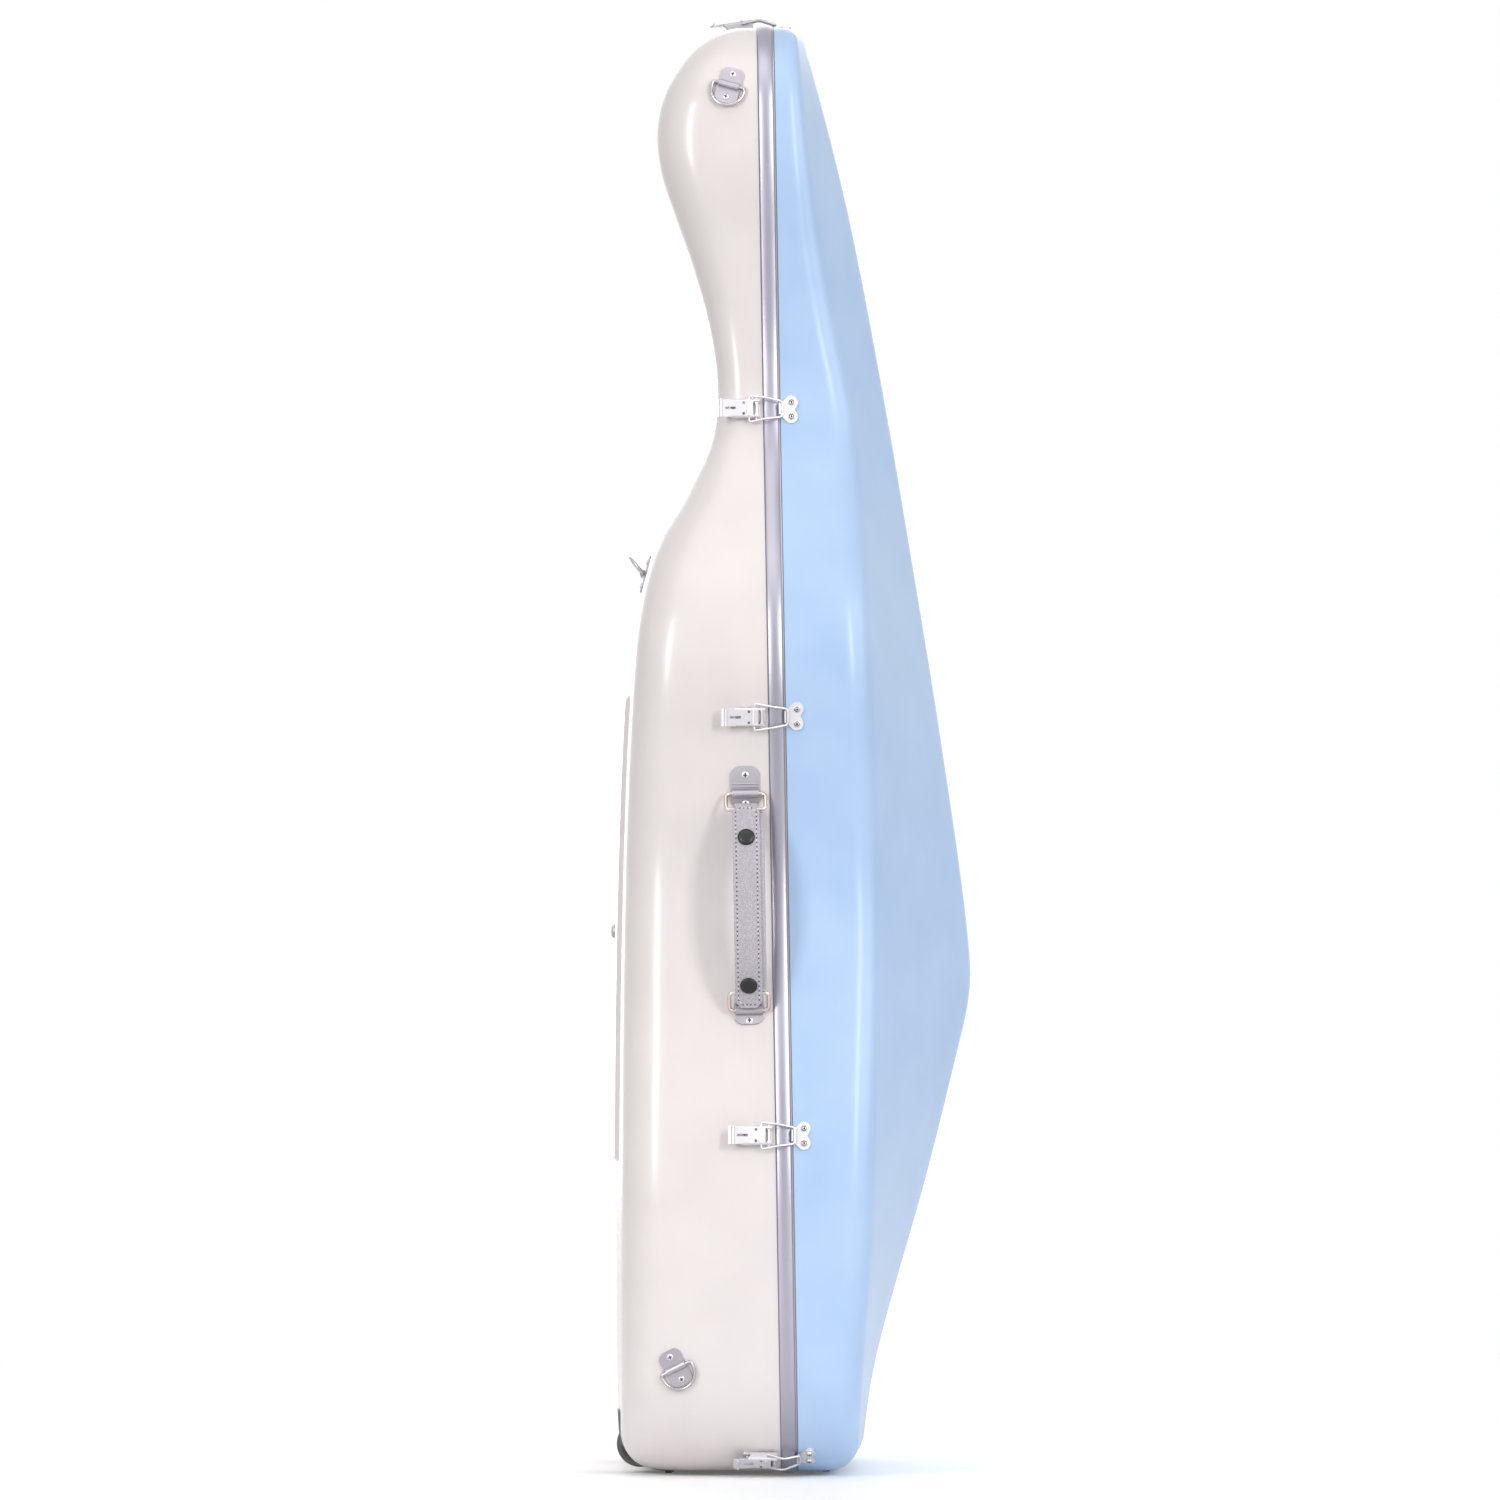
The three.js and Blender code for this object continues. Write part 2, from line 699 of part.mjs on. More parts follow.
// On the back, x runs to the side and y runs up
function backGroup(z, y, spin = 0) {
  const up = backPoint(z + alongStep, y).sub(backPoint(z - alongStep, y));
  const across = backPoint(z, y - alongStep).sub(backPoint(z, y + alongStep));
  return surfaceGroup(backPoint(z, y), across, across.clone().cross(up), spin);
}

const shapeOf = (points) => new THREE.Shape(points.map(([x, y]) => new THREE.Vector2(x, y)));

// Plate with its outline in x and y
function plate(shape, low, high, segments = roundSteps) {
  const geometry = new THREE.ExtrudeGeometry(shape, {
    depth: high - low, bevelEnabled: false, curveSegments: segments,
  });
  return geometry.translate(0, 0, low);
}

// Piece with its outline in x and z, of the same section across y
function pressed(shape, width, middle = 0) {
  const geometry = plate(shape, -width * half, width * half);
  return geometry.rotateX(quarterTurn).translate(0, middle, 0);
}

// Piece with its outline in y and z, of the same section along x
function rolled(shape, length, middle = 0) {
  const geometry = plate(shape, -length * half, length * half);
  return geometry.rotateX(quarterTurn).rotateZ(quarterTurn).translate(middle, 0, 0);
}

function circlePath(x, y, radius) {
  return new THREE.Path().absarc(x, y, radius, 0, 4 * quarterTurn, true);
}

function headOf(radius, height, root, x = 0, y = 0, base = 0) {
  const shoulderShare = 0.72;
  const profile = [
    [0, height], [radius * shoulderShare, height * shoulderShare], [radius, 0], [radius, -root], [0, -root],
  ].map(([r, h]) => new THREE.Vector2(r, h)).reverse();
  return new THREE.LatheGeometry(profile, 2 * roundSteps).rotateX(quarterTurn).translate(x, y, base);
}

const rodAlongY = (radius, length) => new THREE.CylinderGeometry(radius, radius, length, 2 * roundSteps);
const rodAlongX = (radius, length) => rodAlongY(radius, length).rotateZ(quarterTurn);

// Closed wire through points; up is a direction that the wire never runs in
function wireLoop(points, radius, up = new THREE.Vector3(0, 0, 1)) {
  const positions = [];
  const triangles = [];
  const count = points.length;
  points.forEach((point, index) => {
    const before = point.clone().sub(points[(index + count - 1) % count]).normalize();
    const ahead = points[(index + 1) % count].clone().sub(point).normalize();
    const along = before.clone().add(ahead).normalize();
    const side = along.clone().cross(up).normalize();
    const over = side.clone().cross(along);
    const mitre = 1 / Math.max(along.dot(ahead), half);
    for (let corner = 0; corner < wireSides; corner += 1) {
      const angle = (4 * quarterTurn * (corner + half)) / wireSides;
      positions.push(point.clone()
        .addScaledVector(side, radius * mitre * Math.cos(angle))
        .addScaledVector(over, radius * Math.sin(angle)));
    }
  });
  for (let index = 0; index < count; index += 1) {
    for (let corner = 0; corner < wireSides; corner += 1) {
      const next = (corner + 1) % wireSides;
      const here = index * wireSides;
      const there = ((index + 1) % count) * wireSides;
      addQuad(triangles, here + corner, here + next, there + next, there + corner);
    }
  }
  return facingOut(positions, triangles);
}

// Cuts a piece that stands in a surface group where it meets the case
function seated(group, geometry, envelope = backEnvelope) {
  const local = envelope.clone().applyMatrix4(group.matrixWorld.clone().invert());
  return cutBy(geometry, local);
}

function latchLever() {
  const under = leverTop - sheet;
  const top = new THREE.Shape();
  const curlCentre = leverTop + leverCurl;
  top.moveTo(fulcrumX, under);
  top.lineTo(fulcrumX, leverTop);
  top.lineTo(leverTipX, leverTop);
  top.absarc(leverTipX, curlCentre, leverCurl, -quarterTurn, -quarterTurn - leverCurlTurn, true);
  top.absarc(leverTipX, curlCentre, leverCurl + sheet, -quarterTurn - leverCurlTurn, -quarterTurn, false);
  const side = new THREE.Shape();
  side.moveTo(leverFlangeX, leverTop - sheet * half);
  side.lineTo(leverFlangeX + leverFlangeFoot, leverFlangeFoot);
  side.lineTo(fulcrumX, fulcrumHeight - fulcrumRadius);
  side.absarc(fulcrumX, fulcrumHeight, fulcrumRadius, -quarterTurn, quarterTurn, false);
  side.lineTo(fulcrumX, leverTop - sheet * half);
  side.holes.push(circlePath(fulcrumX, fulcrumHeight, pinRadius + runGap));
  side.holes.push(circlePath(bailPivotX, bailPivotHeight, bailWire + runGap));
  const flangeY = (leverWidth - sheet) * half;
  return joinAll([
    pressed(top, leverWidth), pressed(side, sheet, flangeY), pressed(side, sheet, -flangeY),
  ]);
}

function latchBase(group) {
  const bed = shapeOf([
    [latchPlateX, -latchPlateHalfWidth + earInset * 2], [latchPlateEndX, -latchPlateHalfWidth],
    [latchPlateEndX, latchPlateHalfWidth], [latchPlateX, latchPlateHalfWidth - earInset * 2],
  ]);
  const ear = new THREE.Shape();
  ear.moveTo(fulcrumX - fulcrumRadius, 0);
  ear.lineTo(fulcrumX + earRadius, 0);
  ear.absarc(fulcrumX, fulcrumHeight, earRadius, 0, 2 * quarterTurn, false);
  const earY = latchPlateHalfWidth + earInset;
  const bodyParts = joinAll([
    plate(bed, -plateRoot, latchPlateTop),
    pressed(ear, sheet, earY), pressed(ear, sheet, -earY),
    rodAlongY(pinRadius, leverWidth + 2 * sheet).translate(fulcrumX, 0, fulcrumHeight),
  ]);
  return seated(group, bodyParts);
}

// Corner of a wire bent round a radius
function bent(before, corner, after, radius) {
  const start = corner.clone().add(before.clone().sub(corner).setLength(radius));
  const end = corner.clone().add(after.clone().sub(corner).setLength(radius));
  return [start, end];
}

function latchBail() {
  const at = (x, y, z) => new THREE.Vector3(x, y, z);
  const peakHalf = THREE.MathUtils.lerp(bailWideHalf, bailNarrowHalf, half);
  const corners = [
    at(bailPivotX, -bailWideHalf, bailPivotHeight), at(bailPivotX, bailWideHalf, bailPivotHeight),
    at(bailPeakX, peakHalf, bailPeakHeight), at(bailFarX, bailNarrowHalf, bailFarHeight),
    at(bailFarX, -bailNarrowHalf, bailFarHeight), at(bailPeakX, -peakHalf, bailPeakHeight),
  ];
  return wireLoop(corners.flatMap((corner, index) => bent(
    corners[(index + corners.length - 1) % corners.length], corner,
    corners[(index + 1) % corners.length], bailCorner,
  )), bailWire);
}

function latchCatch(group) {
  const root = shapeOf([
    [catchEdgeX, -catchHookHalfWidth], [catchLobeX, -catchLobeSpread],
    [catchLobeX + catchLobeRadius * half, 0], [catchLobeX, catchLobeSpread], [catchEdgeX, catchHookHalfWidth],
  ]);
  const lobe = (y) => plate(
    new THREE.Shape().absarc(catchLobeX, y, catchLobeRadius, 0, 4 * quarterTurn, false),
    -plateRoot, latchPlateTop, 2 * roundSteps,
  );
  const hook = shapeOf([
    [catchEdgeX, 0], [catchEdgeX - catchHookLean, catchHookHeight * half],
    [catchEdgeX - sheet, catchHookHeight], [catchHookLip, catchHookHeight + sheet * half],
    [catchHookLip, catchHookHeight - sheet * half], [catchEdgeX, catchHookHeight - sheet],
    [catchEdgeX + sheet - catchHookLean, catchHookHeight * half], [catchEdgeX + 2 * sheet, latchPlateTop],
    [catchEdgeX + 2 * sheet, 0],
  ]);
  return seated(group, joinAll([
    plate(root, -plateRoot, latchPlateTop), lobe(catchLobeSpread), lobe(-catchLobeSpread),
    pressed(hook, 2 * catchHookHalfWidth),
  ]), lidEnvelope);
}

// Latch across the seam: base and lever on the back shell, catch on the lid
function addLatch(name, group) {
  addMesh(group, `${name}_latch_base`, latchBase(group), steel);
  const leverPivot = new THREE.Group();
  leverPivot.name = `${name}_lever_pivot`;
  leverPivot.position.set(fulcrumX, 0, fulcrumHeight);
  group.add(leverPivot);
  addMesh(leverPivot, `${name}_latch_lever`, latchLever().translate(-fulcrumX, 0, -fulcrumHeight), steel);
  const bailPivot = new THREE.Group();
  bailPivot.name = `${name}_bail_pivot`;
  bailPivot.position.set(bailPivotX, 0, bailPivotHeight);
  group.add(bailPivot);
  addMesh(bailPivot, `${name}_latch_bail`, latchBail().translate(-bailPivotX, 0, -bailPivotHeight), steel);
  addMesh(group, `${name}_latch_catch`, latchCatch(group), steel);
}

Object.entries(latchShares).forEach(([name, share]) => addLatch(name, wallGroup(share * bodyHeight, -1)));
addLatch('top', surfaceGroup(
  new THREE.Vector3(seamX(bodyHeight), 0, bodyHeight), new THREE.Vector3(1, 0, 0), new THREE.Vector3(0, 0, 1),
));

// Strap ring: y runs along the plate, the ring hangs towards negative y
function ringPlate(group, envelope) {
  const bed = new THREE.Shape();
  const side = ringPlateWidth * half;
  const corner = side * half;
  bed.moveTo(-side, corner - ringPlateDown);
  bed.lineTo(corner - side, -ringPlateDown);
  bed.lineTo(side - corner, -ringPlateDown);
  bed.lineTo(side, corner - ringPlateDown);
  bed.lineTo(side, ringPlateUp - corner);
  bed.lineTo(side - corner, ringPlateUp);
  bed.lineTo(corner - side, ringPlateUp);
  bed.lineTo(-side, ringPlateUp - corner);
  const barrel = new THREE.Shape();
  barrel.moveTo(-ringBarrelRadius, 0);
  barrel.lineTo(ringBarrelRadius, 0);
  barrel.absarc(0, ringAxisHeight, ringBarrelRadius, 0, 2 * quarterTurn, false);
  barrel.holes.push(circlePath(0, ringAxisHeight, ringWire + runGap));
  const slot = shapeOf([
    [-ringWire - runGap, 0], [ringWire + runGap, 0],
    [ringWire + runGap, ringAxisHeight], [-ringWire - runGap, ringAxisHeight],
  ]);
  const bodyParts = joinAll([
    plate(bed, -plateRoot, ringPlateTop),
    rolled(barrel, ringPlateWidth - 2 * sheet),
  ]);
  return seated(group, cutBy(bodyParts, rolled(slot, 2 * ringPlateWidth)), envelope);
}

function strapRing() {
  const points = [new THREE.Vector3(ringHalfWidth, 0, 0), new THREE.Vector3(-ringHalfWidth, 0, 0)];
  const arcSteps = 2 * roundSteps;
  const straight = ringDrop - ringHalfWidth;
  for (let step = 0; step <= arcSteps; step += 1) {
    const angle = 2 * quarterTurn + (2 * quarterTurn * step) / arcSteps;
    points.push(new THREE.Vector3(
      ringHalfWidth * Math.cos(angle), ringHalfWidth * Math.sin(angle) - straight, 0,
    ));
  }
  return wireLoop(points, ringWire);
}

function addRing(name, group, turn, envelope) {
  addMesh(group, `${name}_ring_plate`, ringPlate(group, envelope), steel);
  const pivot = new THREE.Group();
  pivot.name = `${name}_ring_pivot`;
  pivot.position.set(0, 0, ringAxisHeight);
  pivot.rotateX(-turn);
  group.add(pivot);
  addMesh(pivot, `${name}_ring`, strapRing(), nickel);
}

Object.entries(sideRingShares).forEach(([name, { height, depth, side, turn }]) => {
  const spin = side > 0 ? 2 * quarterTurn - turn : turn;
  addRing(name, wallGroup(height * bodyHeight, side, depth * backDepth, spin), 0);
});
const backRingHeight = backRingShares.height * bodyHeight;
const backRingSpread = backRingShares.spread * halfWidth;
addRing('back_near', backGroup(backRingHeight, -backRingSpread), backRingTurn);
addRing('back_other', backGroup(backRingHeight, backRingSpread), backRingTurn);

// Strap handle
const handleUp = new THREE.Vector3();
const bracketWall = (end) => wallGroup(
  handleShares.middle * bodyHeight + end * handleHalfSpan, -1, handleShares.depth * backDepth,
);
const bracketPoint = (end) => (
  new THREE.Vector3(0, 0, handleAxisHeight).applyMatrix4(bracketWall(end).matrixWorld)
);
const handleTop = bracketPoint(1);
const handleFoot = bracketPoint(-1);
handleUp.copy(handleTop).sub(handleFoot);
const handleTowardsLid = new THREE.Vector3(1, 0, 0).addScaledVector(
  handleUp, -handleUp.x / handleUp.lengthSq(),
);
const handleGroup = surfaceGroup(
  handleTop.clone().add(handleFoot).multiplyScalar(half), handleTowardsLid,
  handleTowardsLid.clone().cross(handleUp),
);
const handleHalf = handleUp.length() * half;
handleGroup.name = 'handle_pivot';

// Bracket in the handle's frame; the long end of its plate points up
function handleBracket(end) {
  const y = end * handleHalf;
  const holder = new THREE.Group();
  const outward = new THREE.Vector3(0, 0, 1).transformDirection(bracketWall(end).matrixWorld);
  const local = outward.transformDirection(handleGroup.matrixWorld.clone().invert());
  holder.position.set(0, y, 0);
  holder.rotation.x = Math.atan2(-local.y, local.z);
  handleGroup.add(holder);
  holder.updateMatrixWorld(true);
  const side = bracketWidth * half;
  const corner = side * half;
  const bed = shapeOf([
    [-side, -bracketShort], [side, -bracketShort], [side, bracketLong - corner],
    [side - corner, bracketLong], [corner - side, bracketLong], [-side, bracketLong - corner],
  ]);
  const barrel = new THREE.Shape();
  barrel.moveTo(-handleBarrelRadius, -handleAxisHeight);
  barrel.lineTo(handleBarrelRadius, -handleAxisHeight);
  barrel.absarc(0, 0, handleBarrelRadius, 0, 2 * quarterTurn, false);
  barrel.holes.push(circlePath(0, 0, handleWire + runGap));
  const bodyParts = joinAll([
    plate(bed, -handleAxisHeight - plateRoot, latchPlateTop - handleAxisHeight),
    rolled(barrel, bracketWidth - 2 * sheet),
  ]);
  return { holder, geometry: seated(holder, bodyParts) };
}

// Rectangular ring whose free leg lies at its reach along negative y
function handleRing() {
  const corners = [
    [handleRingHalf, 0], [-handleRingHalf, 0],
    [-handleRingHalf, -handleRingReach], [handleRingHalf, -handleRingReach],
  ].map(([x, y]) => new THREE.Vector3(x, y, 0));
  return wireLoop(corners.flatMap((corner, index) => bent(
    corners[(index + corners.length - 1) % corners.length], corner,
    corners[(index + 1) % corners.length], handleRingCorner,
  )), handleWire);
}

const liftedTurn = Math.asin(Math.sin(handleRingTurn) + handleLiftTravel / handleRingReach);
const legInward = handleRingReach * Math.cos(handleRingTurn);
const legOutward = handleRingReach * Math.sin(handleRingTurn);
const legSlack = legInward - handleRingReach * Math.cos(liftedTurn);

[[1, 'upper'], [-1, 'lower']].forEach(([end, name]) => {
  const bracket = handleBracket(end);
  addMesh(bracket.holder, `handle_${name}_bracket`, bracket.geometry, steel);
  const pivot = new THREE.Group();
  pivot.name = `handle_${name}_ring_pivot`;
  pivot.position.set(0, end * handleHalf, 0);
  pivot.rotation.set(end > 0 ? -handleRingTurn : handleRingTurn, 0, 0);
  handleGroup.add(pivot);
  const ring = handleRing();
  if (end < 0) ring.rotateZ(2 * quarterTurn);
  addMesh(pivot, `handle_${name}_ring`, ring, nickel);
});

// Loop of leather round a ring's leg, with slack for the ring to rise
function strapLoop(end) {
  const inner = handleWire + runGap;
  const outer = inner + strapLoopWall;
  const legY = end * (handleHalf - legInward);
  const capsule = (radius) => {
    const outline = new THREE.Shape();
    const near = legY;
    const far = legY + end * legSlack;
    outline.absarc(Math.max(near, far), legOutward, radius, -quarterTurn, quarterTurn, false);
    outline.absarc(Math.min(near, far), legOutward, radius, quarterTurn, 3 * quarterTurn, false);
    return outline;
  };
  const outline = capsule(outer);
  outline.holes.push(new THREE.Path(capsule(inner).getPoints(roundSteps)));
  return rolled(outline, strapLoopWidth);
}

const strapReach = handleHalf - legInward - handleWire - runGap - strapLoopWall * half;
const strapFoot = legOutward + handleWire;
const strapCurve = new THREE.CatmullRomCurve3(strapShares.map(([alongShare, riseShare]) => new THREE.Vector3(
  0, alongShare * strapReach, strapFoot + riseShare * (strapCrown - strapFoot),
)));

function strapBody() {
  const outline = [];
  const chamfer = strapThickness / 4;
  [[1, 1], [-1, 1], [-1, -1], [1, -1]].forEach(([sideways, over], index) => {
    const x = (strapWidth * half) * sideways;
    const y = (strapThickness * half) * over;
    const first = [x, y - over * chamfer];
    const second = [x - sideways * chamfer, y];
    outline.push(...(index % 2 === 0 ? [first, second] : [second, first]));
  });
  return new THREE.ExtrudeGeometry(shapeOf(outline), {
    steps: strapSteps, bevelEnabled: false, extrudePath: strapCurve,
  });
}

const strap = joinAll([strapBody(), strapLoop(1), strapLoop(-1)]);
addMesh(handleGroup, 'handle_strap', strap, leather);

// Studs that hold the folded ends of the strap
Object.entries(snapShares).forEach(([name, share]) => {
  const tangent = strapCurve.getTangent(share);
  const holder = new THREE.Group();
  const outward = new THREE.Vector3(0, -tangent.z, tangent.y);
  holder.position.copy(strapCurve.getPoint(share)).addScaledVector(
    outward, strapThickness * half + clearance + snapRim,
  );
  holder.rotation.x = Math.atan2(tangent.z, tangent.y);
  handleGroup.add(holder);
  addMesh(holder, `handle_${name}_snap`, headOf(snapRadius, snapHeight, snapRim), snapMetal);
});

// Hinges: one leaf carries the outer knuckles and the pin, the other the middle knuckle
const hingeLineLow = hingeLineShares.low * bodyHeight;
const hingeLineHigh = hingeLineShares.high * bodyHeight;
const hingeLineY = (z) => THREE.MathUtils.mapLinear(
  z, hingeLineLow, hingeLineHigh, widthAt(hingeLineLow), widthAt(hingeLineHigh),
);
const hingePoint = (z) => new THREE.Vector3(seamX(z), hingeLineY(z), z);

function hingeGroup(z) {
  const up = hingePoint(hingeLineHigh).sub(hingePoint(hingeLineLow));
  const towardsLid = new THREE.Vector3(1, 0, 0).addScaledVector(up, -up.x / up.lengthSq());
  return surfaceGroup(hingePoint(z), towardsLid, up.clone().cross(towardsLid));
}

const hingeLeafStart = (side) => (side < 0 ? frameWidth : knuckleRadius) + hingeLeafTop;

// Part of a leaf between two shares of the hinge's length: side is -1 on the back shell, 1 on the lid
function hingeKnuckle(side, fromShare, toShare) {
  const length = (toShare - fromShare) * hingeLength - runGap;
  const middle = ((fromShare + toShare) * half - half) * hingeLength;
  const start = hingeLeafStart(side);
  const arm = shapeOf([
    [start + 2 * hingeLeafTop, 0], [start + hingeLeafTop, hingeArmFoot + hingeLeafTop],
    [knuckleRadius * knuckleTangentShare, hingeAxisProud], [0, hingeAxisProud],
    [0, hingeAxisProud - knuckleRadius * half], [knuckleRadius, hingeArmFoot],
    [start, hingeArmFoot], [start, 0],
  ].map(([x, z]) => [side * x, z]));
  return [
    pressed(arm, length, middle),
    rodAlongY(knuckleRadius, length).translate(0, middle, hingeAxisProud),
  ];
}

function hingeLeaf(group, side) {
  const start = hingeLeafStart(side);
  const end = start + hingeLeafReach;
  const width = hingeLength * half;
  const corner = hingeLeafReach / 4;
  const bed = shapeOf([
    [side * start, -width], [side * (end - corner), -width], [side * end, corner - width],
    [side * end, width - corner], [side * (end - corner), width], [side * start, width],
  ]);
  const [first, second, third, fourth] = knuckleShares;
  const carried = side < 0
    ? [...hingeKnuckle(side, first, second), ...hingeKnuckle(side, third, fourth)]
    : hingeKnuckle(side, second, third);
  const leaf = joinAll([plate(bed, -hingeRoot, hingeLeafTop), ...carried]);
  if (side > 0) {
    const bore = rodAlongY(hingePinRadius + runGap, hingeLength * 2).translate(0, 0, hingeAxisProud);
    return seated(group, cutBy(leaf, bore), lidEnvelope);
  }
  const pin = rodAlongY(hingePinRadius, hingeLength).translate(0, 0, hingeAxisProud);
  return seated(group, joinAll([leaf, pin]));
}

Object.entries(hingeShares).forEach(([name, share]) => {
  const group = hingeGroup(share * bodyHeight);
  addMesh(group, `${name}_hinge_back_leaf`, hingeLeaf(group, -1), steel);
  addMesh(group, `${name}_hinge_lid_leaf`, hingeLeaf(group, 1), steel);
  if (name !== 'upper') return;
  const axis = new THREE.Group();
  axis.name = 'lid_pivot';
  axis.position.set(0, 0, hingeAxisProud);
  group.add(axis);
});

// Wheels turn on an axle moulded across their corner housing
const heelX = heelInset - backDepth;

function wheelHousing(y) {
  const floor = wheelZ - 2 * wheelRadius;
  const cavityHalf = wheelWidth * half + wheelRunGap;
  const lap = housingLap + housingWall;
  const box = toSolid(housingBox(y, 0)).intersect(toSolid(flangeEnvelope));
  const side = cavityHalf + lap;
  const flangeBox = boxBetween(
    [wheelX - 2 * wheelRadius, y - side, floor],
    [wheelX + housingReach + housingLap, y + side, wheelZ + housingReach + housingLap],
  );
  const flange = toSolid(flangeBox).intersect(toSolid(flangeEnvelope)).subtract(toSolid(backEnvelope));
  const round = wheelRadius + wheelRunGap;
  const cavity = [
    new THREE.CylinderGeometry(round, round, 2 * cavityHalf, 4 * roundSteps).translate(wheelX, y, wheelZ),
    boxBetween([wheelX - 2 * round, y - cavityHalf, floor], [wheelX, y + cavityHalf, wheelZ + round]),
    boxBetween([wheelX - 2 * round, y - cavityHalf, floor], [wheelX + round, y + cavityHalf, wheelZ]),
  ];
  const hollow = cavity.map(toSolid).reduce((left, cutter) => left.subtract(cutter), box.add(flange));
  const heel = boxBetween(
    [heelX - heelLength * half, y - heelWidth * half, -footHeight],
    [heelX + heelLength * half, y + heelWidth * half, -clearance],
  );
  const axle = rodAlongY(axleRadius, 2 * cavityHalf + housingWall).translate(wheelX, y, wheelZ);
  return toGeometry(hollow.add(toSolid(heel)).add(toSolid(axle)));
}

function wheel() {
  const edge = wheelWidth * half;
  const bore = axleRadius + runGap;
  const profile = [
    [bore, -edge - hubProud], [hubRadius, -edge - hubProud], [hubRadius, tyreRound - edge],
    [wheelRadius - 2 * tyreRound, tyreRound - edge], [wheelRadius - tyreRound, -edge],
    [wheelRadius, tyreRound - edge], [wheelRadius, edge - tyreRound], [wheelRadius - tyreRound, edge],
    [wheelRadius - 2 * tyreRound, edge - tyreRound], [hubRadius, edge - tyreRound],
    [hubRadius, edge + hubProud], [bore, edge + hubProud], [bore, -edge - hubProud],
  ].map(([r, h]) => new THREE.Vector2(r, h));
  return new THREE.LatheGeometry(profile, 4 * roundSteps);
}

wheelSides.forEach(([name, y]) => {
  addMesh(caseGroup, `${name}_wheel_housing`, wheelHousing(y), wheelPlastic);
  const axle = new THREE.Group();
  axle.name = `${name}_wheel_pivot`;
  axle.position.set(wheelX, y, wheelZ);
  caseGroup.add(axle);
  addMesh(axle, `${name}_wheel`, wheel(), rubber);
});

// Rubber feet under the lid and a stud on the back
function frontFoot() {
  const profile = [[0, -footHeight], [footTipRadius, -footHeight], [footRadius, -footHeight * half],
    [footRadius, -clearance], [0, -clearance]].map(([r, h]) => new THREE.Vector2(r, h));
  return new THREE.LatheGeometry(profile, 2 * roundSteps + 2).rotateX(quarterTurn);
}

const footSpread = footSpreadShare * halfWidth;
[['near', -footSpread], ['far', footSpread]].forEach(([name, y]) => {
  addMesh(caseGroup, `${name}_front_foot`, frontFoot(), rubber).position.set(footX, y, 0);
});

const studGroup = backGroup(studHeightShare * bodyHeight, 0);
addMesh(studGroup, 'back_stud', headOf(studRadius, studHeight, 0, 0, 0, panelProud + clearance), steel);

// Padded linings
const liningOuterInset = wall + liningGap;
const liningInnerInset = liningOuterInset + liningThickness;
const backLiningRim = backEdge + frameInnerLap + clearance;
const lidLiningRim = lidInnerLap + clearance;
addMesh(caseGroup, 'back_lining', cutBy(shellBetween(
  skin(-1, liningOuterInset, backLiningRim, liningArcSteps),
  skin(-1, liningInnerInset, backLiningRim, liningArcSteps),
), ...housingHoles), plush);
addMesh(caseGroup, 'lid_lining', shellBetween(
  skin(1, liningOuterInset, lidLiningRim, liningArcSteps),
  skin(1, liningInnerInset, lidLiningRim, liningArcSteps),
), plush);

// Neck cradle of firm foam, hung from the lining's face, with a strap over the neck
const cradleBottom = cradleShares.bottom * bodyHeight;
const cradleTop = cradleShares.top * bodyHeight;
const cradleFront = seamX(cradleBottom) - cradleFrontGap;

function neckCradle() {
  const block = boxBetween(
    [cradleFront - backDepth, -cradleHalfWidth, cradleBottom], [cradleFront, cradleHalfWidth, cradleTop],
  );
  const room = filledSkin(skin(-1, liningInnerInset + clearance, 0, liningArcSteps));
  const notch = rodAlongX(cradleNotch, backDepth).rotateZ(quarterTurn).rotateX(quarterTurn);
  const groove = notch.translate(cradleFront, 0, cradleBottom);
  return toGeometry(toSolid(block).intersect(toSolid(room)).subtract(toSolid(groove)));
}

addMesh(caseGroup, 'neck_cradle', neckCradle(), plush);

const strapMiddle = (cradleBottom + cradleTop) * half;
addMesh(caseGroup, 'neck_strap', boxBetween(
  [cradleFront + clearance, -cradleHalfWidth, strapMiddle - neckStrapWidth * half],
  [cradleFront + clearance + neckStrapThickness, cradleHalfWidth, strapMiddle + neckStrapWidth * half],
), webbing);

// Turning clip that holds a bow against the lid's lining
const bowClipZ = bowClipHeightShare * bodyHeight;
const lidInside = (z) => new THREE.Vector3(seamX(z) + ridgeAt(z, liningInnerInset), 0, z);
const sideways = new THREE.Vector3(0, 1, 0);
const clipUp = lidInside(bowClipZ + alongStep).sub(lidInside(bowClipZ - alongStep));
const clipGroup = surfaceGroup(lidInside(bowClipZ), sideways, clipUp.clone().cross(sideways));
clipGroup.name = 'bow_clip_pivot';

function bowClip() {
  const foot = liningSag + clearance;
  const end = bowClipLength * half;
  const side = bowClipWidth * half;
  const stemLength = bowClipStand + bowClipThickness * half;
  const bar = shapeOf([
    [-end, -side * half], [-bowClipStem, -side], [bowClipStem, -side], [end, -side * half],
    [end, side * half], [bowClipStem, side], [-bowClipStem, side], [-end, side * half],
  ]);
  return joinAll([
    plate(bar, foot + bowClipStand, foot + bowClipStand + bowClipThickness),
    rodAlongY(bowClipStem, stemLength).rotateX(quarterTurn).translate(0, 0, foot + stemLength * half),
  ]);
}
addMesh(clipGroup, 'bow_clip', bowClip(), steel);

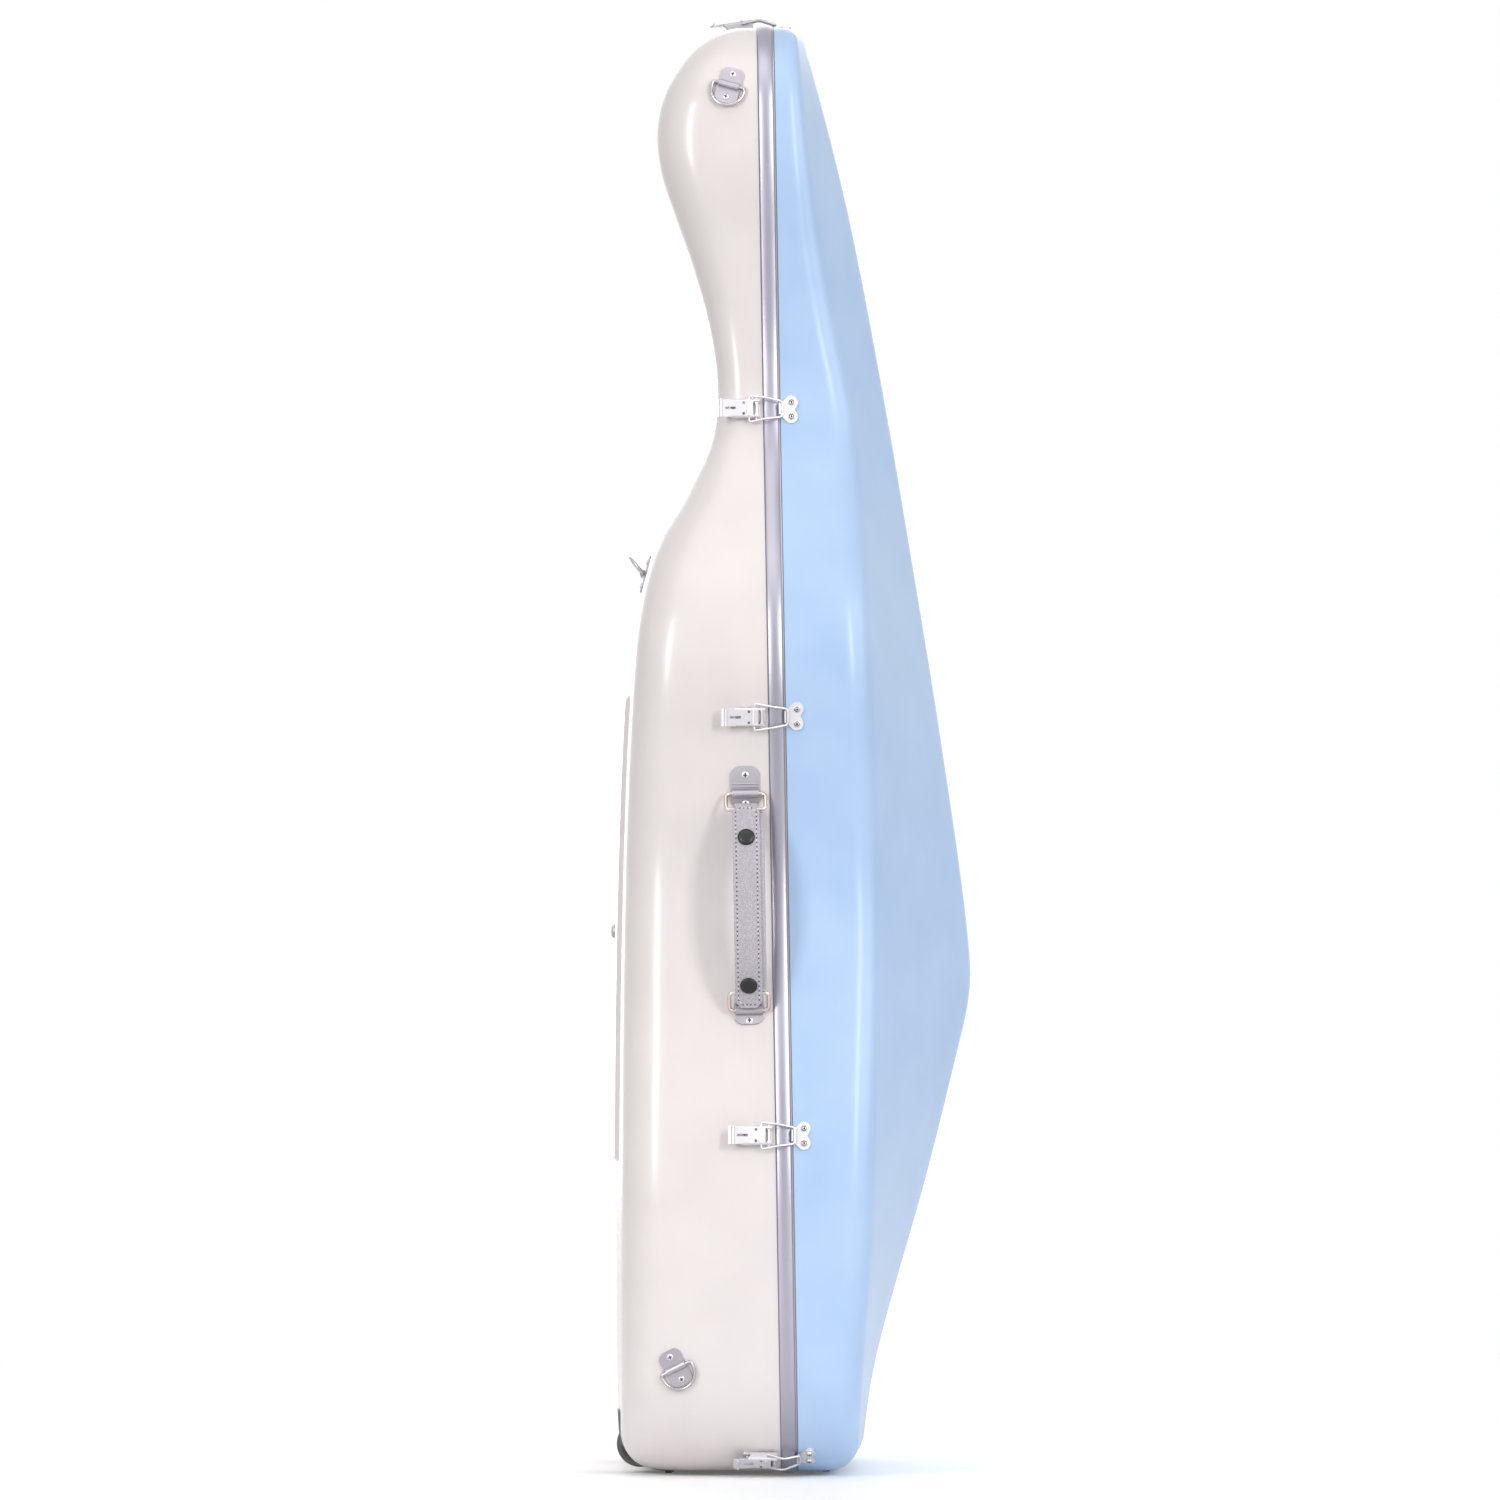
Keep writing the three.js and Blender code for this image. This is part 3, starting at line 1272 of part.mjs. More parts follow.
// The origin is the middle of the underside of the whole case
const celloCase = new THREE.Group();
celloCase.name = 'cello_case';
celloCase.add(caseGroup);
const extent = new THREE.Box3().setFromObject(celloCase, true);
const middle = extent.getCenter(new THREE.Vector3());
caseGroup.position.set(-middle.x, -middle.y, -extent.min.z);

export default celloCase;
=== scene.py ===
import bpy
import json
import math
from mathutils import Matrix, Vector


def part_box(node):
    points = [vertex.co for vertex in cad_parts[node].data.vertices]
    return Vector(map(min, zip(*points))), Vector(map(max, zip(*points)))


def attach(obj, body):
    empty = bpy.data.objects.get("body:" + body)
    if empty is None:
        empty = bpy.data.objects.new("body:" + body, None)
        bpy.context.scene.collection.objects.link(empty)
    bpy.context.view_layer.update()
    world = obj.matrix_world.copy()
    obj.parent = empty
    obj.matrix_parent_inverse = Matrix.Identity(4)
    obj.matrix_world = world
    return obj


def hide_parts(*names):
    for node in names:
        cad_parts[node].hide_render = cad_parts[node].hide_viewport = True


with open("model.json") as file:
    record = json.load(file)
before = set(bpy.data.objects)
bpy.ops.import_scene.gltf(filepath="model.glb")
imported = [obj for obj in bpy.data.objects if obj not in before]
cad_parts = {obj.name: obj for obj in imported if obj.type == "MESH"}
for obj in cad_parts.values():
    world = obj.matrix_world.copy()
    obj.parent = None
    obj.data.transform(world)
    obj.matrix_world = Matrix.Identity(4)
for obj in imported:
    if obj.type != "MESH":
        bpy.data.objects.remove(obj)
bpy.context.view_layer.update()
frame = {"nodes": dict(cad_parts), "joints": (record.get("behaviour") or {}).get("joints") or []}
nodes = frame["nodes"]
joints = {joint["name"]: joint for joint in frame["joints"]}
mm = 0.001
print("frame loaded:", len(nodes), "nodes")


def deselectAll():
    if bpy.context.mode != "OBJECT":
        bpy.ops.object.mode_set(mode="OBJECT")
    bpy.ops.object.select_all(action="DESELECT")


def activate(piece):
    deselectAll()
    piece.select_set(True)
    bpy.context.view_layer.objects.active = piece
    return piece


def applyModifiers(piece):
    activate(piece)
    for modifier in list(piece.modifiers):
        bpy.ops.object.modifier_apply(modifier=modifier.name)
    return piece


def applyPlace(piece):
    activate(piece)
    bpy.ops.object.transform_apply(location=True, rotation=True, scale=True)
    return piece


def smoothByAngle(piece, degrees=35):
    activate(piece)
    bpy.ops.object.shade_smooth_by_angle(angle=math.radians(degrees))
    return piece


def editAll(piece):
    # edit mode with everything selected
    activate(piece)
    bpy.ops.object.mode_set(mode="EDIT")
    bpy.ops.mesh.select_all(action="SELECT")


def leaveEdit():
    bpy.ops.object.mode_set(mode="OBJECT")


def cleanUp(piece, distance=0.01 * mm):
    # merges doubled points and turns every face outwards
    editAll(piece)
    bpy.ops.mesh.remove_doubles(threshold=distance)
    bpy.ops.mesh.normals_make_consistent(inside=False)
    leaveEdit()
    return piece


def selectWhere(piece, kind, chosen):
    # edit mode with only the chosen faces or edges selected
    editAll(piece)
    bpy.ops.mesh.select_mode(type=kind)
    bpy.ops.mesh.select_all(action="DESELECT")
    leaveEdit()
    for part in piece.data.polygons if kind == "FACE" else piece.data.edges:
        part.select = chosen(part)
    bpy.ops.object.mode_set(mode="EDIT")


def selectFaces(piece, test):
    # tests the middle of each face, in mm, and its normal
    selectWhere(piece, "FACE", lambda face: test(face.center / mm, face.normal))


def selectEdges(piece, test):
    # tests both ends of each edge, in mm
    selectWhere(piece, "EDGE", lambda edge: all(test(piece.data.vertices[n].co / mm) for n in edge.vertices))


def thickened(piece, thickness, offset=-1):
    solid = piece.modifiers.new("thickness", "SOLIDIFY")
    solid.thickness = thickness
    solid.offset = offset
    return applyModifiers(piece)


def cutAway(piece, cutter):
    cut = piece.modifiers.new("cut", "BOOLEAN")
    cut.operation = "DIFFERENCE"
    cut.object = cutter
    applyModifiers(piece)
    bpy.data.objects.remove(cutter)
    return piece


def copyPiece(piece, name, place):
    # a copy with its own mesh, moved by a matrix
    twin = piece.copy()
    twin.data = piece.data.copy()
    twin.name = twin.data.name = name
    bpy.context.scene.collection.objects.link(twin)
    twin.data.transform(place)
    return twin


def nodeCopy(node, name):
    # a copy of a CAD node without the marks that the frame put on it
    piece = copyPiece(nodes[node], name, Matrix())
    for key in [key for key in piece.keys() if key.startswith("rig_")]:
        del piece[key]
    return cleanUp(piece)


def dress(piece, body, finish, *replaced):
    # finish, body to ride on, and the nodes that the piece stands for
    if piece.data.materials:
        piece.data.materials[0] = finishes[finish]
    else:
        piece.data.materials.append(finishes[finish])
    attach(piece, body)
    if replaced:
        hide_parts(*replaced)
    return piece


def fit(base, node, place, body, finish):
    # a copy of a fitting in its place, which stands for one CAD node
    dress(copyPiece(base, node + "_fine", place), body, finish, node)


# camera: a long lens square to the latch side, framed as the photograph is
photo = {"pixels": 1500, "scale": 0.953 * mm, "middleX": -38.3 * mm, "middleZ": 682.8 * mm, "lens": 300, "sensor": 36}
frameWidth = photo["pixels"] * photo["scale"]
cameraData = bpy.data.cameras.new("photoCamera")
cameraData.lens = photo["lens"]
cameraData.sensor_width = photo["sensor"]
cameraData.clip_end = 100
camera = bpy.data.objects.new("photoCamera", cameraData)
bpy.context.scene.collection.objects.link(camera)
camera.location = (photo["middleX"], -frameWidth * photo["lens"] / photo["sensor"], photo["middleZ"])
camera.rotation_euler = (math.radians(90), 0, 0)
bpy.context.scene.camera = camera
print("camera placed")


# finishes
def linear(red, green, blue):
    # screen colour, 0 to 255, as the shader's linear colour
    def channel(value):
        share = value / 255
        return share / 12.92 if share <= 0.04045 else ((share + 0.055) / 1.055) ** 2.4
    return (channel(red), channel(green), channel(blue), 1)


def addNode(tree, kind, settings=None, **inputs):
    # settings are the node's own options, inputs are values or sockets, by name or by number
    node = tree.nodes.new(kind)
    for label, value in (settings or {}).items():
        setattr(node, label, value)
    for label, value in inputs.items():
        socket = node.inputs[int(label[1:])] if label[1:].isdigit() else node.inputs[label]
        if isinstance(value, bpy.types.NodeSocket):
            tree.links.new(value, socket)
        else:
            socket.default_value = value
    return node


def mathNode(tree, operation, *values):
    numbered = {f"_{index}": value for index, value in enumerate(values)}
    return addNode(tree, "ShaderNodeMath", {"operation": operation}, **numbered).outputs[0]


def mapRange(tree, value, source, target=(0, 1), kind="LINEAR"):
    ends = dict(zip(("From Min", "From Max", "To Min", "To Max"), (*source, *target)))
    return addNode(tree, "ShaderNodeMapRange", {"interpolation_type": kind}, Value=value, **ends).outputs[0]


def noise(tree, place, scale, detail):
    return addNode(tree, "ShaderNodeTexNoise", Vector=place, Scale=scale, Detail=detail).outputs[0]


def stretched(tree, scale):
    # object coordinates, scaled differently along each axis
    place = addNode(tree, "ShaderNodeTexCoord").outputs["Object"]
    return addNode(tree, "ShaderNodeMapping", Vector=place, Scale=scale).outputs["Vector"]


def fineGrain(tree, scale):
    # fine even grain from two sizes of noise
    place = stretched(tree, (1, 1, 1))
    return noise(tree, place, scale, 3), noise(tree, place, mathNode(tree, "MULTIPLY", scale, 0.02), 2)


def brushedLines(tree, scale):
    # fine lines that run up the case, with broad soft streaks
    return noise(tree, stretched(tree, (1, 1, 0.02)), scale, 4), noise(tree, stretched(tree, (1, 1, 0.3)), 14, 3)


def leatherGrain(tree, scale):
    # pebbled cells with fine creases between them
    place = stretched(tree, (1, 1, 1))
    cells = addNode(tree, "ShaderNodeTexVoronoi", {"feature": "SMOOTH_F1"}, Vector=place, Scale=scale,
                    Smoothness=0.35).outputs["Distance"]
    return mathNode(tree, "MULTIPLY_ADD", cells, -1, noise(tree, place, 2600, 2)), cells


def plainWeave(tree, scale):
    # over-and-under threads of a plain weave
    place = stretched(tree, (1, 1, 1))
    threads = [addNode(tree, "ShaderNodeTexWave", {"bands_direction": along}, Vector=place, Scale=scale,
                       Distortion=0.6).outputs["Fac"] for along in ("Y", "Z")]
    return mathNode(tree, "MAXIMUM", *threads), noise(tree, place, 60, 3)


def patternGroup(draw):
    # node group that gives a height and a tone of a pattern at a scale
    group = bpy.data.node_groups.new(draw.__name__, "ShaderNodeTree")
    for label, way in (("Scale", "INPUT"), ("Height", "OUTPUT"), ("Tone", "OUTPUT")):
        group.interface.new_socket(name=label, in_out=way, socket_type="NodeSocketFloat")
    scale = group.nodes.new("NodeGroupInput").outputs["Scale"]
    result = group.nodes.new("NodeGroupOutput")
    for label, socket in zip(("Height", "Tone"), draw(group, scale)):
        group.links.new(socket, result.inputs[label])
    return group


groups = {draw.__name__: patternGroup(draw) for draw in (fineGrain, brushedLines, leatherGrain, plainWeave)}


def finishOf(name, pattern, scale, dark, light, roughness, bump, depth, further):
    material = bpy.data.materials.new(name)
    material.use_nodes = True
    tree = material.node_tree
    shader = tree.nodes["Principled BSDF"]
    drawn = tree.nodes.new("ShaderNodeGroup")
    drawn.node_tree = groups[pattern]
    drawn.inputs["Scale"].default_value = scale
    tone = drawn.outputs["Tone"]
    shade = addNode(tree, "ShaderNodeMix", {"data_type": "RGBA"}, Factor=mapRange(tree, tone, (0.3, 0.7)),
                    _6=linear(*dark), _7=linear(*light))
    relief = addNode(tree, "ShaderNodeBump", Height=drawn.outputs["Height"], Strength=bump, Distance=depth * mm)
    tree.links.new(shade.outputs[2], shader.inputs["Base Color"])
    tree.links.new(mapRange(tree, tone, (0.25, 0.75), roughness), shader.inputs["Roughness"])
    tree.links.new(relief.outputs[0], shader.inputs["Normal"])
    for label, value in further.items():
        shader.inputs[label].default_value = value
    return material


# pattern and its scale, darker and lighter tone, roughness, bump and its depth in mm, further shader inputs
metal = {"Metallic": 1}
looks = {
    "cream_shell": ("fineGrain", 700, (226, 219, 218), (231, 224, 223), (0.30, 0.38), 0.03, 0.05,
                    {"Coat Weight": 0.35, "Coat Roughness": 0.16}),
    "blue_shell": ("fineGrain", 700, (170, 198, 233), (179, 205, 238), (0.32, 0.40), 0.03, 0.05,
                   {"Coat Weight": 0.12, "Coat Roughness": 0.18}),
    "aluminium_rim": ("brushedLines", 900, (156, 154, 166), (176, 174, 186), (0.34, 0.44), 0.08, 0.03, metal),
    "nickel_steel": ("brushedLines", 1300, (213, 211, 215), (227, 225, 229), (0.4, 0.52), 0.06, 0.02, metal),
    "satin_zinc": ("fineGrain", 1300, (172, 168, 175), (186, 182, 189), (0.38, 0.5), 0.05, 0.02, metal),
    "nickel_wire": ("fineGrain", 1500, (180, 175, 178), (194, 189, 192), (0.2, 0.3), 0.02, 0.02, metal),
    "rosy_wire": ("fineGrain", 1500, (206, 192, 182), (220, 207, 198), (0.14, 0.24), 0.02, 0.02, metal),
    "black_rubber": ("fineGrain", 1600, (26, 26, 28), (38, 38, 40), (0.62, 0.78), 0.25, 0.08, {}),
    "tyre_rubber": ("fineGrain", 1600, (84, 81, 82), (102, 99, 100), (0.62, 0.78), 0.25, 0.08, {}),
    # painted shade: grey of the beads that stand for the shade line in the gaps beside the frame
    "grey_shade_bead": ("fineGrain", 1600, (96, 95, 102), (110, 109, 116), (0.5, 0.6), 0.1, 0.04, {}),
    "wheel_plastic": ("fineGrain", 1200, (104, 105, 109), (118, 119, 123), (0.48, 0.58), 0.2, 0.06, {}),
    "leather": ("leatherGrain", 950, (164, 160, 167), (194, 189, 196), (0.42, 0.6), 0.45, 0.25,
                {"Sheen Weight": 0.1}),
    "plush": ("fineGrain", 2200, (42, 49, 69), (66, 75, 100), (0.9, 1), 0.9, 0.5, {"Sheen Weight": 0.6}),
    "webbing": ("plainWeave", 260, (38, 41, 49), (66, 70, 80), (0.75, 0.9), 0.6, 0.3, {"Sheen Weight": 0.2}),
    "black_stud": ("fineGrain", 1500, (10, 10, 11), (18, 18, 20), (0.34, 0.46), 0.1, 0.03,
                   {"Coat Weight": 0.1, "Coat Roughness": 0.1}),
    # painted shade: dark grey of the dots that stand for the shade in the needle holes
    "needle_hole_shade": ("fineGrain", 1500, (66, 62, 66), (80, 76, 80), (0.8, 0.9), 0.1, 0.05, {}),
    "thread": ("plainWeave", 900, (206, 203, 206), (238, 236, 238), (0.6, 0.75), 0.4, 0.1, {}),
}
finishes = {name: finishOf(name, *look) for name, look in looks.items()}
print("finishes mixed:", len(finishes))

# case body, in metres: tables hold [share of the height, share of the size] as the shells are drawn
case = {
    "height": 1.366, "halfWidth": 0.240, "backDepth": 0.170, "lidDepth": 0.175, "shoulderDepth": 0.080,
    "wall": 3.5 * mm, "seamFoot": 4.3 * mm, "seamLean": math.radians(0.96),
    "backCorner": 46 * mm, "backCrown": 7 * mm, "backDraft": 7 * mm, "shoulderRadius": 30 * mm,
    "crestRadius": 70 * mm, "crestHalf": 16 * mm, "lidDraft": 6 * mm, "filletShare": 0.46,
    "gap": 0.3 * mm, "frameWidth": 13.7 * mm, "slotDepth": 6 * mm, "lidLip": 1.4 * mm, "wheelX": -143 * mm,
}
widthShares = [
    [0, 0.9], [0.09, 0.98], [0.18, 1], [0.26, 0.95], [0.34, 0.83], [0.42, 0.775], [0.49, 0.81], [0.55, 0.84],
    [0.6, 0.79], [0.65, 0.635], [0.7, 0.465], [0.745, 0.385], [0.78, 0.37], [0.84, 0.4], [0.91, 0.44], [1, 0.43],
]
backShares = [
    [0, 0.995], [0.225, 0.969], [0.427, 0.92], [0.532, 0.867], [0.581, 0.827], [0.62, 0.76], [0.644, 0.69],
    [0.686, 0.488], [0.707, 0.4], [0.7275, 0.359], [0.75, 0.35], [0.79, 0.389], [0.832, 0.48], [0.874, 0.597],
    [0.895, 0.65], [0.92, 0.676], [1, 0.67],
]
ridgeShares = [
    [0, 0.351], [0.058, 0.419], [0.079, 0.455], [0.204, 0.743], [0.288, 0.917], [0.32, 0.978], [0.342, 0.995],
    [0.372, 0.982], [0.498, 0.863], [0.623, 0.722], [0.749, 0.569], [0.874, 0.395], [0.951, 0.257], [1, 0.154],
]
shoulderShares = [
    [0, 0.71], [0.079, 0.79], [0.18, 0.91], [0.29, 0.95], [0.437, 0.99], [0.569, 0.975], [0.634, 0.925],
    [0.693, 0.86], [0.742, 0.775], [0.783, 0.63], [0.843, 0.475], [0.891, 0.394], [1, 0.275],
]
# rounded ends: reach across the case and along it
ends = {
    "width": ((0.090, 0.090), (0.075, 0.085)), "back": ((0.036, 0.036), (0.088, 0.110)),
    "lid": ((0.028, 0.028), (0.012, 0.014)),
}
shellLow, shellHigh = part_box("back_shell")
caseOrigin = Vector((
    joints["near_wheel_spin"]["pos_m"][0] - case["wheelX"], (shellLow.y + shellHigh.y) / 2, shellLow.z,
))


def smoothCurve(pairs):
    # smooth curve through [place, value] pairs that never overshoots between them
    steps = [(b[1] - a[1]) / (b[0] - a[0]) for a, b in zip(pairs, pairs[1:])]
    slopes = [steps[0]]
    for before, after in zip(steps, steps[1:]):
        steepest = 3 * min(abs(before), abs(after))
        mean = min(abs(before + after) / 2, steepest)
        slopes.append(0 if before * after <= 0 else math.copysign(mean, after))
    slopes.append(steps[-1])

    def value(place):
        place = min(max(place, pairs[0][0]), pairs[-1][0])
        index = len(pairs) - 2
        while index > 0 and pairs[index][0] > place:
            index -= 1
        span = pairs[index + 1][0] - pairs[index][0]
        t = (place - pairs[index][0]) / span
        s = 1 - t
        return ((1 + 2 * t) * s * s * pairs[index][1] + t * s * s * span * slopes[index]
                + t * t * (3 - 2 * t) * pairs[index + 1][1] - t * t * s * span * slopes[index + 1])
    return value


profiles = {
    "width": (smoothCurve(widthShares), case["halfWidth"], ends["width"]),
    "back": (smoothCurve(backShares), case["backDepth"], ends["back"]),
    "ridge": (smoothCurve(ridgeShares), case["lidDepth"], ends["lid"]),
    "shoulder": (smoothCurve(shoulderShares), case["shoulderDepth"], ends["lid"]),
}


def sizeAt(name, z, inset=0.0):
    # size of a profile at a height, moved in square to its slope and rounded at both ends
    curve, size, rounds = profiles[name]
    share = z / case["height"]
    step = 1 / 2000
    slope = (curve(share + step) - curve(share - step)) * size / (2 * step * case["height"])
    result = curve(share) * size - inset * math.hypot(1, slope)
    for distance, (across, along) in zip((z - inset, case["height"] - inset - z), rounds):
        if distance < along - inset:
            rise = 1 - max(distance, 0) / (along - inset)
            result -= (across - inset) * (1 - math.sqrt(max(1 - rise * rise, 0)))
    return result


def seamX(z):
    return case["seamFoot"] - math.tan(case["seamLean"]) * z


def roundedCorner(before, corner, after, radius, steps):
    back, ahead = before - corner, after - corner
    limit = min(back.length, ahead.length) * case["filletShare"]
    back.normalize()
    ahead.normalize()
    halfAngle = math.acos(max(-1, min(1, back.dot(ahead)))) / 2
    reach = min(radius / math.tan(halfAngle), limit)
    centre = corner + (back + ahead).normalized() * math.hypot(reach, reach * math.tan(halfAngle))
    start = corner + back * reach - centre
    end = corner + ahead * reach - centre
    turn = math.pi - 2 * halfAngle
    sign = 1 if start.x * end.y - start.y * end.x > 0 else -1
    points = []
    for step in range(steps + 1):
        angle = sign * turn * step / steps
        spun = Vector((start.x * math.cos(angle) - start.y * math.sin(angle),
                       start.x * math.sin(angle) + start.y * math.cos(angle)))
        points.append(centre + spun)
    return points


def between(start, end, steps):
    return [start.lerp(end, step / steps) for step in range(1, steps)]


def halfSection(side, z, inset, rim):
    # (depth, y) from the rim to the middle, always with as many points
    fine = {"wall": 6, "corner": 10, "face": 14, "crest": 8}
    width = sizeAt("width", z, inset)
    if side < 0:
        depth = sizeAt("back", z, inset)
        share = depth / case["backDepth"]
        drawn = width - case["backDraft"] * share
        corner = Vector((depth - case["backCrown"] * share, drawn))
        edge = Vector((rim, width + (drawn - width) * rim / depth))
        middle = Vector((depth, 0))
        bend = roundedCorner(Vector((0, width)), corner, middle, case["backCorner"] - inset, fine["corner"])
        return [edge, *between(edge, bend[0], fine["wall"]), *bend,
                *between(bend[-1], middle, fine["face"]), middle]
    ridge = sizeAt("ridge", z, inset)
    shoulder = min(sizeAt("shoulder", z, inset), ridge - case["gap"])
    drawn = width - case["lidDraft"] * shoulder / case["shoulderDepth"]
    corner = Vector((shoulder, drawn))
    edge = Vector((rim, width + (drawn - width) * rim / shoulder))
    crest = Vector((ridge, min(case["crestHalf"], drawn / 2)))
    middle = Vector((ridge, 0))
    bend = roundedCorner(Vector((0, width)), corner, crest, case["shoulderRadius"] - inset, fine["corner"])
    top = roundedCorner(corner, crest, middle, case["crestRadius"], fine["crest"])
    return [edge, *between(edge, bend[0], fine["wall"]), *bend,
            *between(bend[-1], top[0], fine["face"]), *top, *between(top[-1], middle, 2), middle]


def fineHeights():
    # heights of the rows, close together in the rounded ends
    steps = {"foot": 14, "body": 96, "head": 18}
    foot, head = ends["width"][0][1], ends["back"][1][1]
    high = case["height"] - head
    rows = [foot * (1 - math.cos(math.pi / 2 * step / steps["foot"])) for step in range(steps["foot"])]
    rows += [foot + (high - foot) * step / steps["body"] for step in range(steps["body"])]
    rows += [case["height"] - head * (1 - math.cos(math.pi / 2 * step / steps["head"]))
             for step in range(steps["head"], -1, -1)]
    return rows


def onCase(x, y, z):
    return caseOrigin + Vector((x, y, z))


def gridPiece(name, rows, closed=False):
    # a grid whose points are laid on rows of places
    bpy.ops.mesh.primitive_grid_add(x_subdivisions=len(rows[0]) - 1, y_subdivisions=len(rows) - 1, size=1)
    piece = bpy.context.object
    piece.name = name
    piece.data.name = name
    for vertex in piece.data.vertices:
        column = round((vertex.co.x + 0.5) * (len(rows[0]) - 1))
        row = round((vertex.co.y + 0.5) * (len(rows) - 1))
        vertex.co = rows[row][column]
    if closed:
        cleanUp(piece)
    return piece


def skinRows(side, inset, rim):
    # one skin of a shell as rows of places, with its flat ends
    rows = []
    for station in fineHeights():
        z = inset + station * (case["height"] - 2 * inset) / case["height"]
        right = halfSection(side, z, inset, rim)
        section = [(p.x, -p.y) for p in right] + [(p.x, p.y) for p in reversed(right[:-1])]
        rows.append((z, section))
    endSteps = 4

    def flatEnd(z, section, shares):
        return [(z, [(rim + (depth - rim) * share, y) for depth, y in section]) for share in shares]
    shares = [step / endSteps for step in range(endSteps)]
    rows = flatEnd(*rows[0], shares) + rows + flatEnd(*rows[-1], shares[::-1])
    return [[onCase(seamX(z) + side * depth, y, z) for depth, y in section] for z, section in rows]


def shellPiece(name, side, rim):
    rows = skinRows(side, 0, rim)
    return thickened(gridPiece(name, rows if side > 0 else [row[::-1] for row in rows]), case["wall"])


def cutBoxes(piece, boxes):
    # takes boxes, each given by two corners, out of a piece
    for low, high in boxes:
        bpy.ops.mesh.primitive_cube_add(size=1, location=(low + high) / 2)
        cutter = bpy.context.object
        cutter.scale = high - low
        cutAway(piece, applyPlace(cutter))
    return piece


# where the shells end beside the frame, as a depth from the parting plane
backEdge = case["frameWidth"] - case["slotDepth"] + case["gap"]
lidEdge = case["lidLip"] + 2 * case["gap"]

wheelRoom = {"halfWide": 15.2 * mm, "reach": 27.3 * mm, "z": 24 * mm, "past": 44 * mm, "lap": 4.2 * mm}


def wheelBoxes(lap):
    # space of both wheel housings, grown by lap where a housing's flange covers what is cut away
    x, z, past = case["wheelX"], wheelRoom["z"], wheelRoom["past"]
    wide, reach = wheelRoom["halfWide"] + lap, wheelRoom["reach"] + lap
    places = [joints[f"{name}_wheel_spin"]["pos_m"][1] - caseOrigin.y for name in ("near", "far")]
    return [(onCase(x - past, y - wide, z - past), onCase(x + reach, y + wide, z + reach)) for y in places]


backShell = cutBoxes(shellPiece("back_shell_fine", -1, backEdge), wheelBoxes(wheelRoom["lap"]))
dress(smoothByAngle(backShell), "back", "cream_shell", "back_shell")
dress(smoothByAngle(shellPiece("lid_shell_fine", 1, lidEdge)), "lid", "blue_shell", "lid_shell")
print("shells moulded")

# rim, in mm: aluminium frame on the back shell, thin frame in the lid, dark beads along both edges, painted shade of
# the gaps beside the frame, all in mm
rim = {
    "width": case["frameWidth"] / mm, "lidLip": case["lidLip"] / mm, "gap": case["gap"] / mm,
    "corner": [(0, 0.3), (0.08, 0.64), (0.3, 0.9)], "edge": 0.9, "crown": 2.1, "crownSteps": 12,
    "grooveDepth": 5.4, "grooveTop": -0.7, "grooveFloor": -3.1, "backInner": -4.46, "lidInner": -4.63, "lip": -6.23,
    "innerLap": 4, "lidLap": 11, "tongue": 2.2, "bead": 0.6, "sealBulge": 0.5,
}


def rimPiece(name, section):
    # a closed section, in mm of depth towards the back and height above the shell, swept round the rim
    rows = []
    stations = fineHeights()
    for sideways, heights in ((-1, stations), (1, stations[::-1])):
        for station in heights:
            row = []
            for depth, proud in section:
                z = station * (case["height"] + 2 * proud * mm) / case["height"] - proud * mm
                row.append(onCase(seamX(z) - depth * mm, sideways * sizeAt("width", z, -proud * mm), z))
            rows.append(row + row[:1])
    return smoothByAngle(gridPiece(name, rows + rows[:1], closed=True), 30)


def crownedBand():
    # outer face of the frame: softened edges and a slight crown between them
    width, edge, steps = rim["width"], rim["edge"], rim["crownSteps"]
    crown = []
    for step in range(1, steps):
        share = 2 * step / steps - 1
        crown.append((width * step / steps, edge + (rim["crown"] - edge) * (1 - share * share)))
    return rim["corner"] + crown + [(width - depth, proud) for depth, proud in reversed(rim["corner"])]


def rimSections():
    # body, finish, nodes stood for and section of each piece
    width, gap, lip, tongue, bead = (rim[key] for key in ("width", "gap", "lip", "tongue", "bead"))
    slot, inner = width - case["slotDepth"] / mm, backEdge / mm + rim["innerLap"]
    groove, top, floor = rim["grooveDepth"], rim["grooveTop"], rim["grooveFloor"]
    backInner, lidInner, lap, bulge = rim["backInner"], rim["lidInner"], -rim["lidLap"], rim["sealBulge"]
    face, back, start, end = -gap, -rim["lidLip"] - gap, tongue + gap, groove - gap
    return {
        "back_frame_fine": ("back", "aluminium_rim", ["back_frame"], [
            *crownedBand(), (slot, gap), (slot, backInner), (inner, backInner), (inner, lip), (0, lip),
            (0, floor), (groove, floor), (groove, top), (0, top)]),
        "lid_frame_fine": ("lid", "aluminium_rim", ["lid_frame"], [
            (face, -0.15), (face, top - gap), (tongue, top - gap), (tongue, floor + gap), (face, floor + gap),
            (face, lip), (lap, lip), (lap, lidInner), (back, lidInner), (back, -0.15), (back + 0.15, 0.02),
            (face - 0.15, 0.02)]),
        # grey beads at both edges of the frame: painted shade of the narrow gaps there
        "back_rim_bead": ("back", "grey_shade_bead", [], [
            (width - 0.3, -0.2), (width + bead, -0.2), (width + bead * 0.8, 0.18), (width + bead * 0.3, 0.4),
            (width - 0.3, 0.4)]),
        "lid_rim_bead": ("lid", "grey_shade_bead", [], [
            (back + 0.1, -1.2), (back - bead, -1.2), (back - bead, 0.06), (back - bead * 0.6, 0.2),
            (back + 0.1, 0.2)]),
        "rim_seal_fine": ("back", "black_rubber", ["rim_seal"], [
            (start, top - gap - bulge), (start + bulge, top - gap), (end, top - gap), (end, floor + gap),
            (start + bulge, floor + gap), (start, floor + gap + bulge)]),
    }


for name, (body, finish, replaced, section) in rimSections().items():
    dress(rimPiece(name, section), body, finish, *replaced)
print("rim swept")


